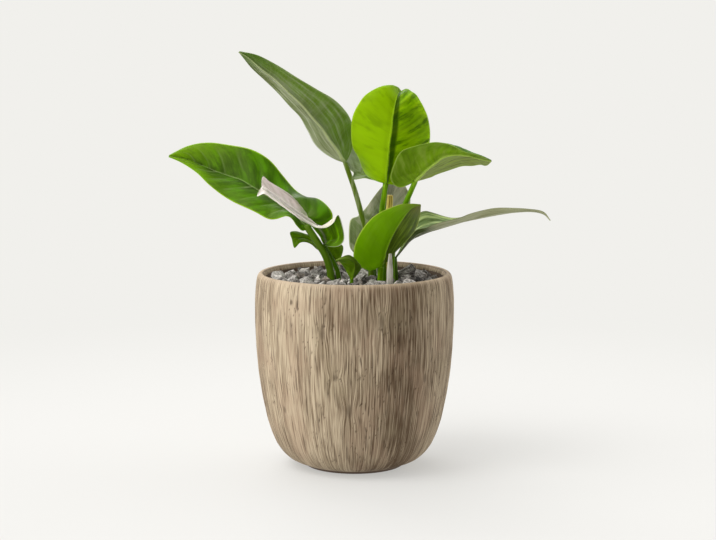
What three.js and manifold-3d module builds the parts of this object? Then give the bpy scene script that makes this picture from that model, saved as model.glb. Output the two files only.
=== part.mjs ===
import * as THREE from 'three';
import { mergeVertices } from 'three/addons/utils/BufferGeometryUtils.js';
import Module from 'manifold-3d';

// Potted philodendron in a wood-look planter with a gravel top dressing.
// Millimetres, +Z up. The origin is the centre of the planter's foot, on the floor.
// The front of the plant looks towards -Y.

// Driving dimensions of the planter
const potHeight = 215;
const potRadius = 109.5;
const footRadius = 54;
const wallAtLip = 11.5;
const floorThickness = 12;
const potSegments = 40;

// Driving dimensions of the filling
const soilTop = 190;
const gravelBedTop = 201;
const gravelLimitRadius = 97.4;
const stoneLimitRadius = 96.8;
const seatGap = 0.3;
const stemClearance = 0.4;

// Driving dimensions of the foliage
const bladeThickness = 0.9;
const keelDepth = 2.0;
const keelTaper = 0.75;

// Colours and finishes
const potFinish = { color: 0xa08a72, roughness: 0.75 };
const soilFinish = { color: 0x3a2c22, roughness: 0.95 };
const gravelFinish = { color: 0x8d8b86, roughness: 0.9 };
const matureLeaf = { color: 0x5f8c2c, roughness: 0.45 };
const greyLeaf = { color: 0x6f7f58, roughness: 0.5 };
const brightLeaf = { color: 0x86b516, roughness: 0.45 };
const yellowSheath = { color: 0xc9b545, roughness: 0.7 };
const drySheath = { color: 0xc8c2b4, roughness: 0.8 };

const weldTolerance = 1e-4;

const wasm = await Module();
wasm.setup();

const plant = new THREE.Group();

function addPart(name, geometry, finish) {
  const mesh = new THREE.Mesh(geometry, new THREE.MeshStandardMaterial({ ...finish, metalness: 0 }));
  mesh.name = name;
  plant.add(mesh);
}

// Corners that share a place become one, whatever their normals and texture places
function welded(geometry) {
  const bare = geometry.clone();
  bare.deleteAttribute('normal');
  bare.deleteAttribute('uv');
  return mergeVertices(bare, weldTolerance);
}

// A closed mesh becomes a solid that can be joined and cut
function toSolid(geometry) {
  const merged = welded(geometry);
  return new wasm.Manifold(
    new wasm.Mesh({
      numProp: 3,
      vertProperties: new Float32Array(merged.attributes.position.array),
      triVerts: new Uint32Array(merged.index.array),
    })
  );
}

function toGeometry(solid) {
  const mesh = solid.getMesh();
  const geometry = new THREE.BufferGeometry();
  geometry.setAttribute('position', new THREE.BufferAttribute(mesh.vertProperties, 3));
  geometry.setIndex(new THREE.BufferAttribute(mesh.triVerts, 1));
  geometry.computeVertexNormals();
  return geometry;
}

// What is left of a layer once loose scraps are dropped
function largestBody(solid) {
  return solid.decompose().reduce((best, body) => (body.volume() > best.volume() ? body : best));
}

// Same draw each time, between 0 and 1
function makeRandom(seed) {
  let state = seed;
  return () => {
    state = (state * 1664525 + 1013904223) % 4294967296;
    return state / 4294967296;
  };
}

// Value at u of keys that stand at even steps from 0 to 1
function atKeys(keys, u) {
  const place = Math.min(Math.max(u, 0), 1) * (keys.length - 1);
  const low = Math.min(Math.floor(place), keys.length - 2);
  return keys[low] + (keys[low + 1] - keys[low]) * (place - low);
}

function smoothCurve(points) {
  const places = points.map((point) => new THREE.Vector3(...point));
  return new THREE.CatmullRomCurve3(places, false, 'catmullrom', 0.5);
}

// Planter: barrel with a rounded lip and a flat foot, turned about its axis

const potOutside = [
  [footRadius, 0],
  [56, 1],
  [56, 3],
  [63, 4.5],
  [72, 9],
  [80, 16],
  [87, 26],
  [92, 38],
  [96.5, 52],
  [102, 78],
  [106, 105],
  [108.3, 132],
  [potRadius, 160],
  [potRadius, 185],
  [108.5, 200],
  [107.3, 209],
  [105.5, 213.5],
  [102.5, potHeight],
  [100.3, 213.8],
  [98.7, 210],
];

const potInside = [
  [potRadius - wallAtLip, 200],
  [potRadius - wallAtLip, 175],
  [97, 130],
  [94, 100],
  [87, 60],
  [80, 38],
  [70, 24],
  [52, 14],
  [0, floorThickness],
];

function turned(profile) {
  const points = profile.map(([radius, height]) => new THREE.Vector2(radius, height));
  const geometry = new THREE.LatheGeometry(points, potSegments);
  geometry.rotateX(Math.PI / 2);
  return geometry;
}

function buildPlanter() {
  const profile = [[0, 0], ...potOutside, ...potInside];
  addPart('planter', turned(profile), potFinish);
}

// Growing medium: fills the planter up to the underside of the gravel

function soilSolid() {
  const fill = potInside
    .filter(([, height]) => height < soilTop)
    .map(([radius, height]) => [Math.max(radius - seatGap, 0), height + seatGap])
    .reverse();
  const profile = [...fill, [potRadius - wallAtLip - seatGap, soilTop], [0, soilTop]];
  return toSolid(turned(profile));
}

// Gravel: a level bed with angular blocks of stone sunk into it, fused into one layer

// Half-lengths of a chip as shares of its size, how far its corners move, and how far it leans
const chipShape = {
  long: [0.75, 1.1],
  wide: [0.6, 0.8],
  thick: [0.5, 0.7],
  corner: [0.62, 1.12],
  lean: [-0.65, 0.65],
};

function chipGeometry(size, random) {
  const between = ([least, most]) => least + (most - least) * random();
  const geometry = welded(new THREE.BoxGeometry(2, 2, 2));
  const { long, wide, thick } = chipShape;
  geometry.scale(size * between(long), size * between(wide), size * between(thick));
  const position = geometry.attributes.position;
  for (let i = 0; i < position.array.length; i += 1) {
    position.array[i] *= between(chipShape.corner);
  }
  const turn = new THREE.Euler(between(chipShape.lean), between(chipShape.lean), between([0, Math.PI * 2]));
  geometry.applyMatrix4(new THREE.Matrix4().makeRotationFromEuler(turn));
  return geometry;
}

// Corners of a stone that would reach into the planter's wall or the soil lie along them instead
function keepInBed(geometry) {
  const position = geometry.attributes.position;
  for (let i = 0; i < position.count; i += 1) {
    const radius = Math.hypot(position.getX(i), position.getY(i));
    const scale = Math.min(1, stoneLimitRadius / radius);
    const height = Math.max(position.getZ(i), soilTop + seatGap);
    position.setXYZ(i, position.getX(i) * scale, position.getY(i) * scale, height);
  }
}

// Larger stones that show in front of and beside the plant: place and size
const largeStones = [
  { at: [-83, 6, 205], size: 11 },
  { at: [60, 26, 210], size: 14 },
  { at: [74, -2, 206], size: 12 },
  { at: [42, -62, 204], size: 10 },
  { at: [16, -54, 204], size: 12 },
  { at: [-38, -48, 204], size: 11 },
];

const chipRings = [
  { radius: 89, count: 25 },
  { radius: 72, count: 20 },
  { radius: 55, count: 15 },
  { radius: 38, count: 10 },
  { radius: 20, count: 5 },
];
const chipSize = { least: 9.4, range: 3 };
const chipRise = { least: 0.4, range: 3.6 };
const chipScatter = 7;
const chipSeed = 11;

function gravelSolid() {
  const random = makeRandom(chipSeed);
  const chips = [];
  const placeChip = (size, x, y, z) => {
    const chip = chipGeometry(size, random);
    chip.translate(x, y, z);
    keepInBed(chip);
    chips.push(toSolid(chip));
  };
  for (const ring of chipRings) {
    for (let i = 0; i < ring.count; i += 1) {
      const angle = ((i + 0.5 * random()) / ring.count) * Math.PI * 2;
      const reach = ring.radius + (random() - 0.5) * chipScatter;
      const height = gravelBedTop + chipRise.least + chipRise.range * random();
      const size = chipSize.least + chipSize.range * random();
      placeChip(size, Math.cos(angle) * reach, Math.sin(angle) * reach, height);
    }
  }
  for (const stone of largeStones) {
    placeChip(stone.size, ...stone.at);
  }
  const bed = turned([
    [0, soilTop + seatGap],
    [gravelLimitRadius, soilTop + seatGap],
    [gravelLimitRadius, gravelBedTop],
    [0, gravelBedTop],
  ]);
  return chips.reduce((layer, chip) => layer.add(chip), toSolid(bed));
}

// A leaf is one thin solid: a round petiole that flattens into the blade, which is spanned by three
// lines from its base to its tip, the midrib with a margin on each side. Side 0 lies to the left
// of the midrib, seen from above the upper face with the tip pointing away, and side 1 to the right.
//   stem      radius at the foot and at the blade
//   stations  points of the lines abreast of each other: margin of side 0, midrib, margin of side 1
//   bulge     mm by which each side rises halfway between midrib and margin, from base to tip
//   wave      height in mm and number of the margins' waves

const leaves = [
  {
    name: 'leaf_upper_left',
    finish: greyLeaf,
    stem: [3.6, 2.6],
    petiole: [[20, 8, 180], [18, 8, 218], [13, 10, 254], [2, 9, 298]],
    base: [-10, 3, 334],
    stations: [
      [[-6, 7, 340], [-14, 0, 340], [-20, 12, 337]],
      [[-2, 6, 351], [-19, -4, 349], [-34, 15, 345]],
      [[-2, 1, 366], [-27, -9, 360], [-45, 13, 355]],
      [[-3, -9, 379], [-35, -15, 373], [-52, 8, 370]],
      [[-10, -21, 392], [-45, -24, 385], [-59, -3, 386]],
      [[-23, -34, 406], [-56, -33, 399], [-72, -16, 399]],
      [[-41, -46, 417], [-70, -42, 413], [-86, -27, 414]],
      [[-62, -57, 429], [-84, -51, 427], [-99, -41, 429]],
      [[-83, -66, 443], [-99, -61, 439], [-110, -55, 441]],
      [[-102, -73, 453], [-111, -69, 450], [-117, -67, 450]],
    ],
    tip: [-121, -76, 456],
    bulge: [[0, 2, 3, 3, 2, 1], [0, 1, 2, 2, 1, 0]],
    wave: [1.2, 3],
  },
  {
    name: 'leaf_upright',
    finish: brightLeaf,
    stem: [3.8, 3.0],
    petiole: [[32, -6, 180], [31, -7, 226], [29, -10, 255], [30, -14, 284]],
    base: [34, -18, 313],
    stations: [
      [[44, -12, 312], [35, -20, 317], [25, -8, 315]],
      [[57, -8, 317], [35, -25, 325], [14, 2, 320]],
      [[69, -8, 327], [36, -29, 335], [8, 3, 329]],
      [[78, -11, 342], [37, -33, 349], [4, -8, 342]],
      [[81, -15, 357], [38, -36, 361], [-2, -16, 354]],
      [[81, -19, 372], [40, -38, 374], [-4, -22, 370]],
      [[79, -22, 386], [41, -37, 386], [-2, -28, 386]],
      [[75, -25, 395], [43, -34, 397], [4, -32, 399]],
      [[70, -24, 403], [45, -29, 405], [12, -32, 410]],
      [[66, -18, 410], [47, -21, 410], [24, -28, 417]],
      [[61, -9, 413], [49, -10, 411], [37, -18, 419]],
      [[57, 4, 414], [51, 3, 409], [46, -4, 415]],
    ],
    tip: [53, 16, 404],
    bulge: [[0, -3, -4, -4, -3, -1], [0, -5, -4, -4, -4, -1]],
    wave: [1, 4],
  },
  {
    name: 'leaf_upper_right',
    finish: matureLeaf,
    stem: [3.6, 2.8],
    petiole: [[43, -4, 180], [41, -5, 226], [44, -13, 255], [53, -27, 287]],
    base: [65, -37, 317],
    stations: [
      [[76, -30, 319], [70, -42, 323], [50, -27, 310]],
      [[82, -28, 321], [73, -45, 326], [41, -29, 315]],
      [[89, -30, 325], [76, -49, 330], [39, -37, 325]],
      [[107, -40, 331], [87, -60, 340], [47, -58, 348]],
      [[116, -48, 334], [93, -66, 345], [57, -70, 356]],
      [[123, -55, 336], [101, -73, 348], [71, -82, 360]],
      [[129, -62, 337], [111, -78, 349], [86, -91, 362]],
      [[133, -69, 337], [120, -82, 348], [101, -97, 360]],
      [[137, -76, 337], [128, -86, 346], [116, -98, 353]],
      [[140, -84, 339], [136, -88, 344], [130, -95, 349]],
    ],
    tip: [143, -90, 343],
    bulge: [[0, 3, 4, 4, 3, 1], [0, 5, 4, 3, 3, 1]],
    wave: [1, 3],
  },
  {
    name: 'leaf_far_right',
    finish: matureLeaf,
    stem: [3.6, 2.8],
    petiole: [[46, 13, 180], [45, 12, 212]],
    base: [44, 8, 229],
    stations: [
      [[50, 14, 237], [48, 8, 234], [48, 2, 234]],
      [[61, 29, 262], [61, 9, 249], [59, -8, 252]],
      [[69, 36, 273], [71, 12, 254], [67, -11, 261]],
      [[78, 40, 277], [82, 15, 258], [77, -10, 265]],
      [[88, 43, 276], [94, 19, 261], [88, -8, 268]],
      [[111, 48, 269], [118, 28, 267], [113, 7, 272]],
      [[130, 52, 270], [135, 33, 271], [129, 19, 278]],
      [[153, 56, 273], [155, 38, 275], [151, 31, 281]],
      [[175, 58, 276], [175, 43, 277], [173, 39, 281]],
      [[198, 58, 276], [197, 48, 278], [195, 44, 280]],
      [[213, 55, 273], [212, 50, 274], [212, 48, 276]],
    ],
    tip: [221, 50, 265],
    bulge: [[0, -4, -4, -3, -2, 0], [0, -3, -3, -2, -1, 0]],
    wave: [1, 4],
  },
  {
    name: 'leaf_left',
    finish: matureLeaf,
    stem: [4.4, 3.8],
    petiole: [[-25, -8, 180], [-26, -8, 212], [-31, -9, 232], [-40, -7, 247]],
    base: [-53, -2, 266],
    stations: [
      [[-54, -4, 261], [-56, 0, 268], [-46, 0, 268]],
      [[-58, -6, 261], [-60, 3, 271], [-35, -2, 266]],
      [[-63, -8, 267], [-64, 6, 274], [-26, -2, 269]],
      [[-68, -8, 273], [-69, 9, 278], [-24, 1, 278]],
      [[-75, -8, 276], [-76, 12, 282], [-31, 8, 288]],
      [[-85, -6, 274], [-83, 16, 287], [-41, 16, 294]],
      [[-95, -2, 274], [-91, 21, 292], [-53, 26, 294]],
      [[-108, 3, 279], [-102, 26, 299], [-65, 34, 301]],
      [[-122, 9, 285], [-114, 31, 306], [-80, 41, 318]],
      [[-136, 15, 292], [-127, 36, 313], [-95, 48, 334]],
      [[-150, 21, 300], [-141, 41, 317], [-115, 53, 345]],
      [[-163, 28, 309], [-156, 45, 322], [-138, 56, 350]],
      [[-176, 36, 321], [-171, 48, 328], [-164, 58, 353]],
      [[-192, 43, 331], [-190, 50, 335], [-187, 57, 349]],
    ],
    tip: [-210, 50, 338],
    bulge: [[0, 2, 3, 3, 2, 1], [0, 6, 5, 3, 3, 1]],
    wave: [1.2, 4],
  },
  {
    name: 'leaf_folded',
    finish: greyLeaf,
    stem: [3.2, 2.4],
    petiole: [[-16, 3, 180], [-18, 4, 212], [-24, 4, 226]],
    base: [-34, 3, 244],
    stations: [
      [[-36, 0, 249], [-32, -1, 249], [-26, -7, 243]],
      [[-37, -3, 252], [-33, -5, 253], [-16, -13, 245]],
      [[-39, -9, 256], [-34, -10, 257], [-11, -17, 256]],
      [[-45, -16, 265], [-38, -17, 264], [-17, -20, 279]],
      [[-47, -18, 270], [-41, -20, 267], [-23, -28, 271]],
      [[-50, -20, 274], [-46, -24, 272], [-32, -35, 267]],
      [[-54, -24, 284], [-53, -30, 278], [-46, -42, 271]],
      [[-69, -33, 303], [-72, -43, 293], [-72, -57, 291]],
      [[-90, -41, 317], [-90, -51, 308], [-93, -64, 306]],
      [[-98, -44, 323], [-96, -52, 312], [-103, -62, 304]],
    ],
    tip: [-99, -51, 313],
    bulge: [[0, 1, 2, 3, 3, 1], [0, -3, 1, 3, 3, 0]],
    wave: [0.6, 3],
  },
  {
    name: 'leaf_low_left',
    finish: matureLeaf,
    stem: [3, 2.2],
    petiole: [[-17, 17, 180], [-18, 20, 210]],
    base: [-21, 22, 221],
    stations: [
      [[-23, 20, 224], [-22, 22, 226], [-15, 24, 227]],
      [[-31, 16, 231], [-28, 20, 233], [-14, 28, 241]],
      [[-41, 12, 238], [-40, 16, 241], [-37, 23, 242]],
      [[-47, 10, 243], [-48, 14, 246], [-47, 20, 251]],
      [[-54, 7, 246], [-55, 12, 250], [-55, 17, 255]],
      [[-60, 3, 246], [-61, 8, 251], [-64, 13, 258]],
      [[-66, 0, 241], [-66, 6, 251], [-71, 9, 257]],
    ],
    tip: [-69, 5, 250],
    bulge: [[0, 1, 2, 1, 1, 0], [0, 2, 2, 2, 1, 0]],
    wave: [0.6, 2],
  },
  {
    name: 'leaf_front',
    finish: brightLeaf,
    stem: [3.6, 3.0],
    petiole: [[28, -19, 180], [28, -20, 208]],
    base: [29, -23, 224],
    stations: [
      [[33, -20, 227], [30, -24, 227], [22, -21, 220]],
      [[38, -17, 230], [31, -26, 231], [14, -20, 219]],
      [[42, -15, 233], [33, -28, 236], [6, -20, 223]],
      [[46, -17, 239], [34, -31, 242], [-1, -24, 233]],
      [[56, -19, 251], [40, -38, 258], [3, -37, 256]],
      [[67, -22, 265], [48, -44, 273], [20, -48, 280]],
      [[71, -28, 279], [57, -48, 286], [44, -53, 293]],
      [[71, -36, 286], [63, -49, 291], [58, -54, 295]],
    ],
    tip: [71, -50, 294],
    bulge: [[0, -2, -2, -2, -1, 0], [0, -4, -4, -4, -3, 0]],
    wave: [0.8, 3],
  },
  {
    name: 'leaf_back',
    finish: greyLeaf,
    stem: [3, 2.4],
    petiole: [[23, 19, 180], [22, 24, 211], [23, 30, 216]],
    base: [24, 38, 220],
    stations: [
      [[37, 33, 226], [25, 40, 225], [7, 43, 224]],
      [[46, 34, 233], [26, 44, 231], [-2, 46, 231]],
      [[51, 37, 242], [27, 48, 238], [-6, 53, 240]],
      [[58, 48, 263], [31, 58, 255], [-5, 66, 263]],
      [[61, 54, 274], [34, 64, 265], [4, 70, 269]],
      [[63, 60, 285], [37, 68, 275], [13, 74, 278]],
      [[62, 67, 294], [40, 73, 286], [23, 78, 291]],
      [[57, 74, 304], [44, 78, 297], [32, 81, 302]],
    ],
    tip: [49, 86, 318],
    bulge: [[0, -3, -3, -3, -2, 0], [0, -3, -3, -3, -2, 0]],
    wave: [0.8, 3],
  },
  {
    name: 'leaf_behind',
    finish: greyLeaf,
    stem: [3.2, 2.4],
    petiole: [[30, 13, 180], [28, 16, 223], [31, 25, 263], [33, 33, 297]],
    base: [34, 38, 310],
    stations: [
      [[31, 47, 333], [21, 42, 315], [19, 34, 313]],
      [[23, 51, 345], [13, 44, 318], [11, 32, 315]],
      [[13, 54, 353], [7, 46, 320], [-2, 32, 314]],
      [[2, 56, 356], [1, 48, 323], [-1, 40, 320]],
      [[-8, 57, 355], [-6, 50, 326], [-6, 46, 324]],
      [[-19, 58, 345], [-17, 54, 338], [-17, 52, 337]],
    ],
    tip: [-19, 56, 341],
    bulge: [[0, 2, 2, 2, 1, 0], [0, 1, 1, 0, 0, 0]],
    wave: [0.5, 2],
  },
  {
    name: 'leaf_new',
    finish: brightLeaf,
    stem: [2.6, 2.0],
    petiole: [[-3, -52, 183], [-3, -52, 203]],
    base: [-3, -53, 214],
    stations: [
      [[1, -50, 216], [-2, -54, 218], [-6, -52, 217]],
      [[7, -52, 225], [0, -56, 226], [-11, -53, 226]],
      [[4, -61, 233], [0, -62, 234], [-15, -58, 232]],
      [[-6, -70, 242], [-8, -70, 239], [-18, -65, 235]],
    ],
    tip: [-20, -74, 237],
    bulge: [[0, -1, -1, -1, 0, 0], [0, -2, -2, -1, -1, 0]],
    wave: [0, 1],
  },
];

const petioleSteps = 6;
const rowsBeyondStations = 5;
const firstRow = 0.03;
const lastRow = 0.985;
const acrossSteps = [-1, -0.8, -0.55, -0.28, 0, 0.28, 0.55, 0.8, 1];
const petioleEdgeAngle = 0.2;
const leastHalfWidth = 0.9;
const wavePhase = 0.37;
const slopeStep = 0.004;
const acrossSlope = 0.12;

function squareTo(direction, along) {
  return direction.clone().addScaledVector(along, -direction.dot(along)).normalize();
}

// The three lines of a blade, as curves that keep abreast
function bladeLines(leaf) {
  return [0, 1, 2].map((line) => {
    const points = leaf.stations.map((station) => station[line]);
    return smoothCurve([leaf.base, ...points, leaf.tip]);
  });
}

// Point of the blade's middle surface at u along it and t across it, t from -1 to 1
function bladePoint(leaf, lines, u, t) {
  const side = t < 0 ? 0 : 1;
  const share = Math.abs(t);
  const middle = lines[1].getPoint(u);
  const along = lines[1].getPoint(u + slopeStep).sub(lines[1].getPoint(u - slopeStep));
  const out = lines[side * 2].getPoint(u).sub(middle);
  const reach = out.length();
  out.multiplyScalar(Math.max(reach, leastHalfWidth) / reach);
  const normal = new THREE.Vector3().crossVectors(out, along).normalize();
  normal.multiplyScalar(side === 0 ? -1 : 1);
  const [waveHeight, waveCount] = leaf.wave;
  const waveTurn = 2 * Math.PI * (waveCount * u + wavePhase * side);
  const wave = waveHeight * share ** 2 * Math.sin(Math.PI * u) * Math.sin(waveTurn);
  const bulge = atKeys(leaf.bulge[side], u) * 4 * share * (1 - share);
  return middle.addScaledVector(out, share).addScaledVector(normal, bulge + wave);
}

// Direction of the upper face at u along the blade and t across it
function bladeNormal(leaf, lines, u, t) {
  const at = (du, dt) => bladePoint(leaf, lines, u + du * slopeStep, Math.min(Math.max(t + dt, -1), 1));
  const along = at(1, 0).sub(at(-1, 0));
  const across = at(0, acrossSlope).sub(at(0, -acrossSlope));
  return new THREE.Vector3().crossVectors(across, along).normalize();
}

// One row of the blade: upper points from left to right, then lower points from left to right
function bladeRow(leaf, lines, u) {
  const above = [];
  const below = [];
  for (const t of acrossSteps) {
    const middle = bladePoint(leaf, lines, u, t);
    const normal = bladeNormal(leaf, lines, u, t);
    const depth = t === 0 ? keelDepth * (1 - keelTaper * u) : 0;
    above.push(middle.clone().addScaledVector(normal, bladeThickness / 2));
    below.push(middle.clone().addScaledVector(normal, -bladeThickness / 2 - depth));
  }
  return { above, below };
}

// One ring of the petiole, with as many points as a row of the blade
function petioleRing(center, along, facing, radius) {
  const up = squareTo(facing, along);
  const right = new THREE.Vector3().crossVectors(along, up);
  const place = (angle) =>
    center
      .clone()
      .addScaledVector(right, radius * Math.sin(angle))
      .addScaledVector(up, radius * Math.cos(angle));
  const widest = Math.PI / 2 - petioleEdgeAngle;
  return {
    above: acrossSteps.map((t) => place(t * widest)),
    below: acrossSteps.map((t) => place(Math.PI - t * widest)),
  };
}

// Closed skin through rows of equal length, split into triangles alike on both faces
function loft(rows) {
  const count = rows[0].above.length;
  const positions = [];
  const index = [];
  for (const row of rows) {
    for (const point of [...row.above, ...row.below]) {
      positions.push(point.x, point.y, point.z);
    }
  }
  const above = (i, j) => i * count * 2 + j;
  const below = (i, j) => i * count * 2 + count + j;
  const quad = (a, b, c, d) => index.push(a, b, c, a, c, d);
  const last = count - 1;
  for (let i = 0; i < rows.length - 1; i += 1) {
    for (let j = 0; j < last; j += 1) {
      quad(above(i, j), above(i, j + 1), above(i + 1, j + 1), above(i + 1, j));
      quad(below(i + 1, j + 1), below(i, j + 1), below(i, j), below(i + 1, j));
    }
    quad(above(i, 0), above(i + 1, 0), below(i + 1, 0), below(i, 0));
    quad(above(i, last), below(i, last), below(i + 1, last), above(i + 1, last));
  }
  const end = rows.length - 1;
  for (let j = 0; j < last; j += 1) {
    quad(above(0, j), below(0, j), below(0, j + 1), above(0, j + 1));
    quad(above(end, j), above(end, j + 1), below(end, j + 1), below(end, j));
  }
  const geometry = new THREE.BufferGeometry();
  geometry.setAttribute('position', new THREE.Float32BufferAttribute(positions, 3));
  geometry.setIndex(index);
  geometry.computeVertexNormals();
  return geometry;
}

// Points of a leaf's stem, up to where the blade begins
function stemPoints(leaf) {
  return [...leaf.petiole, leaf.base];
}

function leafGeometry(leaf) {
  const stalk = smoothCurve(stemPoints(leaf));
  const lines = bladeLines(leaf);
  const facing = bladeNormal(leaf, lines, firstRow, 0);
  const rows = [];
  for (let i = 0; i <= petioleSteps; i += 1) {
    const u = i / petioleSteps;
    rows.push(petioleRing(stalk.getPointAt(u), stalk.getTangentAt(u), facing, atKeys(leaf.stem, u)));
  }
  const bladeSteps = leaf.stations.length + rowsBeyondStations - 1;
  for (let i = 0; i <= bladeSteps; i += 1) {
    rows.push(bladeRow(leaf, lines, firstRow + (lastRow - firstRow) * (i / bladeSteps)));
  }
  return loft(rows);
}

const holeSides = 8;
const holeSteps = 8;

// Plain hole that a stem of this radius stands in: a tube about the stem, begun a little lower
function stemHole(points, stemRadius) {
  const [x, y, z] = points[0];
  const path = smoothCurve([[x, y, z - stemClearance], ...points.slice(1)]);
  const reach = (stemRadius + stemClearance) / Math.cos(Math.PI / holeSides);
  const corners = [];
  for (let i = 0; i < holeSides; i += 1) {
    const angle = (i / holeSides) * Math.PI * 2;
    corners.push(new THREE.Vector2(reach * Math.cos(angle), reach * Math.sin(angle)));
  }
  const section = new THREE.Shape(corners);
  return toSolid(new THREE.ExtrudeGeometry(section, { steps: holeSteps, extrudePath: path }));
}

// Sheaths: a yellow one beside the upright leaf's petiole and a dry one at the front

const sheaths = [
  {
    name: 'sheath_yellow',
    finish: yellowSheath,
    path: [[36, 5, 180], [36, 3, 240], [38, 1, 280], [39, 0, 299]],
    radii: [3, 3.6, 4.3, 3.2],
    flatness: 0.6,
  },
  {
    name: 'sheath_dry',
    finish: drySheath,
    path: [[38, -42, 184], [38, -43, 210], [38.3, -44, 232], [38.5, -44, 240]],
    radii: [3.6, 3.6, 3.5, 1.6],
    flatness: 0.75,
  },
];

const sheathSteps = 10;

function sheathGeometry(sheath) {
  const curve = smoothCurve(sheath.path);
  const front = new THREE.Vector3(0, -1, 0);
  const rows = [];
  for (let i = 0; i <= sheathSteps; i += 1) {
    const u = i / sheathSteps;
    const center = curve.getPointAt(u);
    const row = petioleRing(center, curve.getTangentAt(u), front, atKeys(sheath.radii, u));
    for (const point of [...row.above, ...row.below]) {
      point.y = center.y + (point.y - center.y) * sheath.flatness;
    }
    rows.push(row);
  }
  return loft(rows);
}

function buildFillingAndFoliage() {
  const holes = [];
  for (const leaf of leaves) {
    addPart(leaf.name, leafGeometry(leaf), leaf.finish);
    holes.push(stemHole(stemPoints(leaf), leaf.stem[0]));
  }
  for (const sheath of sheaths) {
    addPart(sheath.name, sheathGeometry(sheath), sheath.finish);
    holes.push(stemHole(sheath.path, Math.max(...sheath.radii)));
  }
  const withHoles = (layer) => holes.reduce((body, hole) => body.subtract(hole), layer);
  addPart('soil', toGeometry(withHoles(soilSolid())), soilFinish);
  addPart('gravel', toGeometry(largestBody(withHoles(gravelSolid()))), gravelFinish);
}

buildPlanter();
buildFillingAndFoliage();

export default plant;
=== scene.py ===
import math
import random

import bmesh
import bpy
import numpy as np
from mathutils import Matrix, Vector, noise


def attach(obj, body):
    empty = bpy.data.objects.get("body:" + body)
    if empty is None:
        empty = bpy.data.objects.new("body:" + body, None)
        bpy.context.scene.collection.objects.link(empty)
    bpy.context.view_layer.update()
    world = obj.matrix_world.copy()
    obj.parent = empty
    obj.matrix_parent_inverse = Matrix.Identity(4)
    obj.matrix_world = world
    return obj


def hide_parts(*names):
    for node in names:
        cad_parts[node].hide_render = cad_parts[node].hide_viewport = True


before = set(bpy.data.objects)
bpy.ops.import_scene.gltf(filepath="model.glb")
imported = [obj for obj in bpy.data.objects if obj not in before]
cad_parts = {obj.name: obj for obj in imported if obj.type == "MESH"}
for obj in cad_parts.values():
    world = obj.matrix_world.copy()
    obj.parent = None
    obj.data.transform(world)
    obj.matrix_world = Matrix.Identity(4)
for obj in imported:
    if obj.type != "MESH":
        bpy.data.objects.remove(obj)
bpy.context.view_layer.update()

# A potted philodendron: planter, gravel, soil, eleven leaves and two sheaths.
# Tables are in millimetres, Blender is in metres.
mm = 0.001


# Camera

viewpoint = {
    "place": (0, -2000, 485.4),
    "target": (0, 0, 215),
    "lens": 92.2,
    "sensor": 36,
    "shift": (0.0049, 0.0018),  # the planter stands a little left of the middle
}


def makeCamera():
    data = bpy.data.cameras.new("viewCamera")
    data.lens = viewpoint["lens"]
    data.sensor_width = viewpoint["sensor"]
    data.shift_x, data.shift_y = viewpoint["shift"]
    camera = bpy.data.objects.new("viewCamera", data)
    place = Vector(viewpoint["place"]) * mm
    camera.location = place
    camera.rotation_euler = (Vector(viewpoint["target"]) * mm - place).to_track_quat("-Z", "Y").to_euler()
    bpy.context.collection.objects.link(camera)
    bpy.context.scene.camera = camera


# Small helpers for meshes

def keyed(keys, u):  # value at u of keys that stand at even steps from 0 to 1
    table = np.asarray(keys, float)
    steps = np.linspace(0, 1, len(table))
    if table.ndim == 1:
        return np.interp(u, steps, table)
    return np.stack([np.interp(u, steps, column) for column in table.T], -1)


def unit(vectors):
    return vectors / np.maximum(np.linalg.norm(vectors, axis=-1, keepdims=True), 1e-9)


def smoothStep(low, high, value):
    share = np.clip((value - low) / (high - low), 0, 1)
    return share * share * (3 - 2 * share)


def meshObject(name, points, faces, materials, faceMaterials=None, smooth=True):
    mesh = bpy.data.meshes.new(name)
    mesh.from_pydata((np.asarray(points) * mm).tolist(), [], faces)
    for material in materials:
        mesh.materials.append(material)
    if faceMaterials is not None:
        mesh.polygons.foreach_set("material_index", faceMaterials)
    mesh.polygons.foreach_set("use_smooth", [smooth] * len(mesh.polygons))
    mesh.update()
    made = bpy.data.objects.new(name, mesh)
    bpy.context.collection.objects.link(made)
    return made


def pointValues(made, name, values):
    attribute = made.data.attributes.new(name, "FLOAT", "POINT")
    attribute.data.foreach_set("value", np.asarray(values, np.float32).ravel())


def pointPlaces(made, name, places):
    attribute = made.data.attributes.new(name, "FLOAT_VECTOR", "POINT")
    attribute.data.foreach_set("vector", np.asarray(places, np.float32).ravel())


def dress(made, slotName, *nodes):  # what every piece of the plant and the planter gets
    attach(made, "root")
    if nodes:
        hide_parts(*nodes)


# Small helpers for materials

def screenColour(red, green, blue):  # 0 to 255 on screen, to the linear light that shaders use
    shares = [part / 255 for part in (red, green, blue)]
    return (*[s / 12.92 if s <= 0.04045 else ((s + 0.055) / 1.055) ** 2.4 for s in shares], 1)


def newMaterial(name):
    material = bpy.data.materials.new(name)
    material.use_nodes = True
    tree = material.node_tree
    tree.nodes.clear()
    return material, tree


def addNode(tree, kind, inputs=(), **settings):
    made = tree.nodes.new("ShaderNode" + kind)
    for key, value in settings.items():
        setattr(made, key, value)
    for key, value in dict(inputs).items():
        if isinstance(value, bpy.types.NodeSocket):
            tree.links.new(value, made.inputs[key])
        else:
            made.inputs[key].default_value = value
    return made


def calc(tree, operation, *values):
    return addNode(tree, "Math", dict(enumerate(values)), operation=operation).outputs[0]


def times(tree, first, second):
    return calc(tree, "MULTIPLY", first, second)


def fade(tree, value, low, high, toLow=0.0, toHigh=1.0):  # smooth step between two values
    inputs = {"Value": value, "From Min": low, "From Max": high, "To Min": toLow, "To Max": toHigh}
    return addNode(tree, "MapRange", inputs, interpolation_type="SMOOTHSTEP").outputs[0]


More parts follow.
